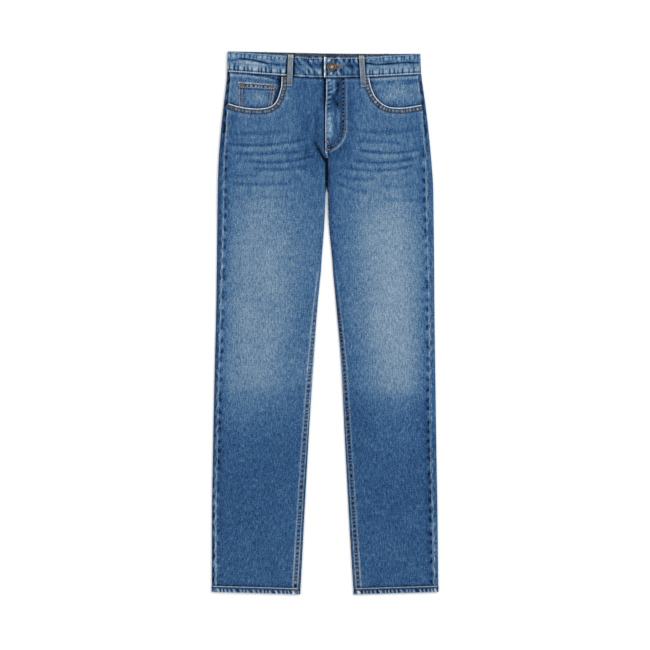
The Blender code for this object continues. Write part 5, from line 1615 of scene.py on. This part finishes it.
# ---- belt loops -----------------------------------------------------------------------------
def front_loop(side, finish, thread):
    """A belt loop: folded edges, a bridge over the band and tacks at both ends."""
    top_x, low_x = FRONT_LOOPS[side]
    edge = float(band_edge(top_x, "front"))

    def over_band(run, over):
        """x on the loop and the band's height there, at distances down it."""
        x = top_x + (low_x - top_x) * (run + 0.4) / LOOP_LENGTH + LOOP_WIDTH * over
        return x, band_height(x, side == "right")

    def on_loop(run, over, lift):
        """Points on the loop's upper skin."""
        x, base = over_band(run, over)
        return grid(x, edge + run, base + smooth(LOOP_ROWS[2:, 0], LOOP_ROWS[2:, 2], run) + lift)

    t = np.concatenate([np.linspace(0, 3, 19)[:-1], np.linspace(3, 8, 46)])[:, None]
    index = np.arange(len(LOOP_ROWS), dtype=float)
    drop, lower, upper = (smooth(index, column, t) for column in LOOP_ROWS.T)
    half = np.array([0.13, 0.26, 0.36, 0.42, 0.47, 0.5])
    over = np.concatenate([-half[::-1], [0.0], half])
    x, base = over_band(drop, over)
    away = np.abs(over)
    rise = bumps(away, (0.22, 0.37, 0.09), (-0.12, 0, 0.1), (0.1 * ripple(drop, 6, 111), 0.3, 0.15),
                 (-0.6, 0.5, 0.03)) - 0.5 * eased(t, 7.8, 8)
    top = grid(x, edge + drop - LOOP_WALL * np.clip(2 - t, 0, 1), base + upper + rise)
    tone = 104 + 10 * noise(x / 3, drop / 9, 112)
    tone = tone + bumps(away, (46, 0.44, 0.05), (-14, 0.24, 0.06), (8, 0, 0.06))
    tone = tone + bumps(drop, (26, 57.4, 1.4), (-34, 53.4, 1.6), (46, 1.2, 1.6), (12, 26, 14))
    piece = cloth("belt_loop_front_" + side + "_cloth", finish, top, grid(x, edge + drop, base + lower),
                  tone * (0.55 + 0.45 * eased(t, 0.6, 1.6)), 50,
                  tint=0.68 - HALVES[side].loop_fade * eased(drop, 18, 40))
    run = np.arange(2.0, 56.0, 1.5)
    shapes = [sewn(on_loop(run, over, 0.05), 158, width=0.8) for over in (-0.28, 0.28)]
    shapes += [bar_tack(on_loop(run, 0, 0.1), (1.0, 0.0), 8.4, 2, dye, rust)
               for run, dye, rust in ((3.4, TAN + 14, 0.0), (53.6, BROWN + 30, 0.3))]
    return piece, build("stitching_loop_front_" + side, shapes, thread)


def back_loop(place, finish, thread):
    """A belt loop that the garment rests on, with its edges pressed flat."""
    centre, over = BACK_LOOPS[place], np.linspace(-0.5, 0.5, 13)
    x, down = centre + LOOP_WIDTH * over, np.linspace(4, 64, 41)[:, None]
    tone = 104 + 44 * bump(np.abs(over), 0.46, 0.05) + 8 * noise(x / 3, down / 9, 113)
    low = grid(x, down, 0.15 * bump(np.abs(over), 0.5, 0.05))
    piece = cloth("belt_loop_back_" + place + "_cloth", finish, low, grid(x, down, BACK_LOOP_WALL),
                  tone, 60, tint=0.7)
    run = np.arange(6.0, 62.0, 2.0)
    shapes = [sewn(grid(centre + LOOP_WIDTH * at, run, 0.25), 120, up=-1) for at in (-0.28, 0.28)]
    return piece, build("stitching_loop_back_" + place, shapes, thread)


class JEANS_OT_loops(bpy.types.Operator):
    """Make the five belt loops with their stitching and bar tacks"""

    bl_idname = "jeans.loops"
    bl_label = "Belt loops"

    def execute(self, context):
        worn = washed_denim("worn_loop_denim", 0.8)
        thread = bpy.data.materials["spun_polyester_thread"]
        for side in FRONT_LOOPS:
            piece, sewing = front_loop(side, worn, thread)
            declare(piece, "belt_loop_front_" + side)
        for place in BACK_LOOPS:
            piece, sewing = back_loop(place, worn, thread)
            declare(piece, "belt_loop_back_" + place)
        return {"FINISHED"}


# ---- stage ------------------------------------------------------------------------------------
FLOOR_HALF = 3.0
FLOOR_LEVEL = -0.0004
SENSOR_MM = 36.0


class JEANS_OT_stage(bpy.types.Operator):
    """Lay a plain pale floor, set soft studio light and the camera overhead"""

    bl_idname = "jeans.stage"
    bl_label = "Stage"

    def execute(self, context):
        stage = context.scene.jeans_stage
        mesh = bpy.data.meshes.new("pale_floor")
        mesh.from_pydata([(FLOOR_HALF * x, FLOOR_HALF * y, 0.0)
                          for x, y in ((-1, -1), (1, -1), (1, 1), (-1, 1))], [], [(0, 1, 2, 3)])
        mesh.materials.append(plain_floor("matt_white_floor", tuple(stage.floor_colour)))
        floor = bpy.data.objects.new("pale_floor", mesh)
        context.scene.collection.objects.link(floor)
        floor.location.z = FLOOR_LEVEL
        for name, place, size, power in (("key", (1.5, 0.9, 2.4), 1.6, stage.key),
                                         ("fill", (-1.9, -0.4, 2.6), 2.4, stage.fill)):
            lamp = bpy.data.lights.new(name, "AREA")
            lamp.size = size
            lamp.energy = power
            holder = bpy.data.objects.new(name, lamp)
            holder.location = place
            aim = -holder.location
            holder.rotation_euler = aim.to_track_quat("-Z", "Y").to_euler()
            context.scene.collection.objects.link(holder)
        world = bpy.data.worlds.new("soft_studio")
        world.use_nodes = True
        sky = world.node_tree.nodes["Background"]
        sky.inputs["Color"].default_value = (1.0, 1.0, 1.0, 1.0)
        sky.inputs["Strength"].default_value = stage.ambient
        context.scene.world = world
        lens = bpy.data.cameras.new("overhead")
        lens.sensor_width = SENSOR_MM
        lens.lens = SENSOR_MM * stage.height / stage.field
        camera = bpy.data.objects.new("overhead", lens)
        camera.location = (*stage.aim, stage.height)
        context.scene.collection.objects.link(camera)
        context.scene.camera = camera
        context.scene.view_settings.view_transform = "Standard"
        return {"FINISHED"}


# ---- settings, panel and registration -------------------------------------------------------
class JeansCloth(bpy.types.PropertyGroup):
    """How finely the cloth is built"""

    cell: FloatProperty(name="Cell", description="Width of a mesh cell on the fronts, in millimetres",
                        default=2.7, min=1.5, max=12.0)


class JeansWash(bpy.types.PropertyGroup):
    """How the thighs are faded"""

    thigh_right: FloatProperty(name="Right thigh", description="Tone of the fade on the right thigh",
                               default=122.0, min=60.0, max=220.0)
    thigh_left: FloatProperty(name="Left thigh", description="Tone of the fade on the left thigh",
                              default=130.0, min=60.0, max=220.0)


class JeansThread(bpy.types.PropertyGroup):
    """Size of the stitches"""

    pitch: FloatProperty(name="Stitch length", default=3.3, min=1.5, max=8.0,
                         description="Distance from stitch to stitch, in millimetres")
    width: FloatProperty(name="Thread width", default=1.0, min=0.3, max=2.0,
                         description="Thickness of the topstitching thread, in millimetres")


class JeansStage(bpy.types.PropertyGroup):
    """Floor, light and camera"""

    floor_colour: FloatVectorProperty(name="Floor", description="Colour of the floor", subtype="COLOR",
                                      default=linear("#fdfdfd"), min=0.0, max=1.0)
    key: FloatProperty(name="Key light", description="Power of the key light", default=38.0,
                       unit="POWER")
    fill: FloatProperty(name="Fill light", description="Power of the fill light", default=18.0,
                        unit="POWER")
    ambient: FloatProperty(name="Ambient", default=0.8,
                           description="Strength of the light from all round")
    height: FloatProperty(name="Camera height", description="Height of the camera", default=5.0,
                          unit="LENGTH")
    field: FloatProperty(name="Field", description="Width that the camera sees on the floor",
                         default=1.2545, unit="LENGTH")
    aim: FloatVectorProperty(name="Aim", description="Point of the floor in the middle of the view",
                             size=2, default=(-0.0001, -0.0039), subtype="XYZ", unit="LENGTH")


class JEANS_PT_panel(bpy.types.Panel):
    """Sizes, wash, thread and stage of the jeans, and the steps that make them"""

    bl_idname = "JEANS_PT_panel"
    bl_label = "Jeans"
    bl_space_type = "VIEW_3D"
    bl_region_type = "UI"
    bl_category = "Jeans"

    def draw(self, context):
        for key in SETTINGS:
            group = getattr(context.scene, key)
            for name in group.__annotations__:
                self.layout.prop(group, name)
        for step in STEPS:
            self.layout.operator(step.bl_idname)


SETTINGS = {"jeans_cloth": JeansCloth, "jeans_wash": JeansWash, "jeans_thread": JeansThread,
            "jeans_stage": JeansStage}
STEPS = (JEANS_OT_legs, JEANS_OT_pockets, JEANS_OT_hems, JEANS_OT_waist, JEANS_OT_loops,
         JEANS_OT_stage)
CLASSES = (*SETTINGS.values(), *STEPS, JEANS_PT_panel)


def register():
    """Add the settings, the steps and the panel."""
    for group in CLASSES:
        bpy.utils.register_class(group)
    for key, group in SETTINGS.items():
        setattr(bpy.types.Scene, key, PointerProperty(type=group))


def unregister():
    """Take them away again."""
    for key in SETTINGS:
        delattr(bpy.types.Scene, key)
    for group in reversed(CLASSES):
        bpy.utils.unregister_class(group)


def main():
    """Make the jeans and their stage."""
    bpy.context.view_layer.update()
    register()
    bpy.ops.jeans.legs()
    bpy.ops.jeans.pockets()
    bpy.ops.jeans.hems()
    bpy.ops.jeans.waist()
    bpy.ops.jeans.loops()
    bpy.ops.jeans.stage()


if __name__ == "__main__":
    main()
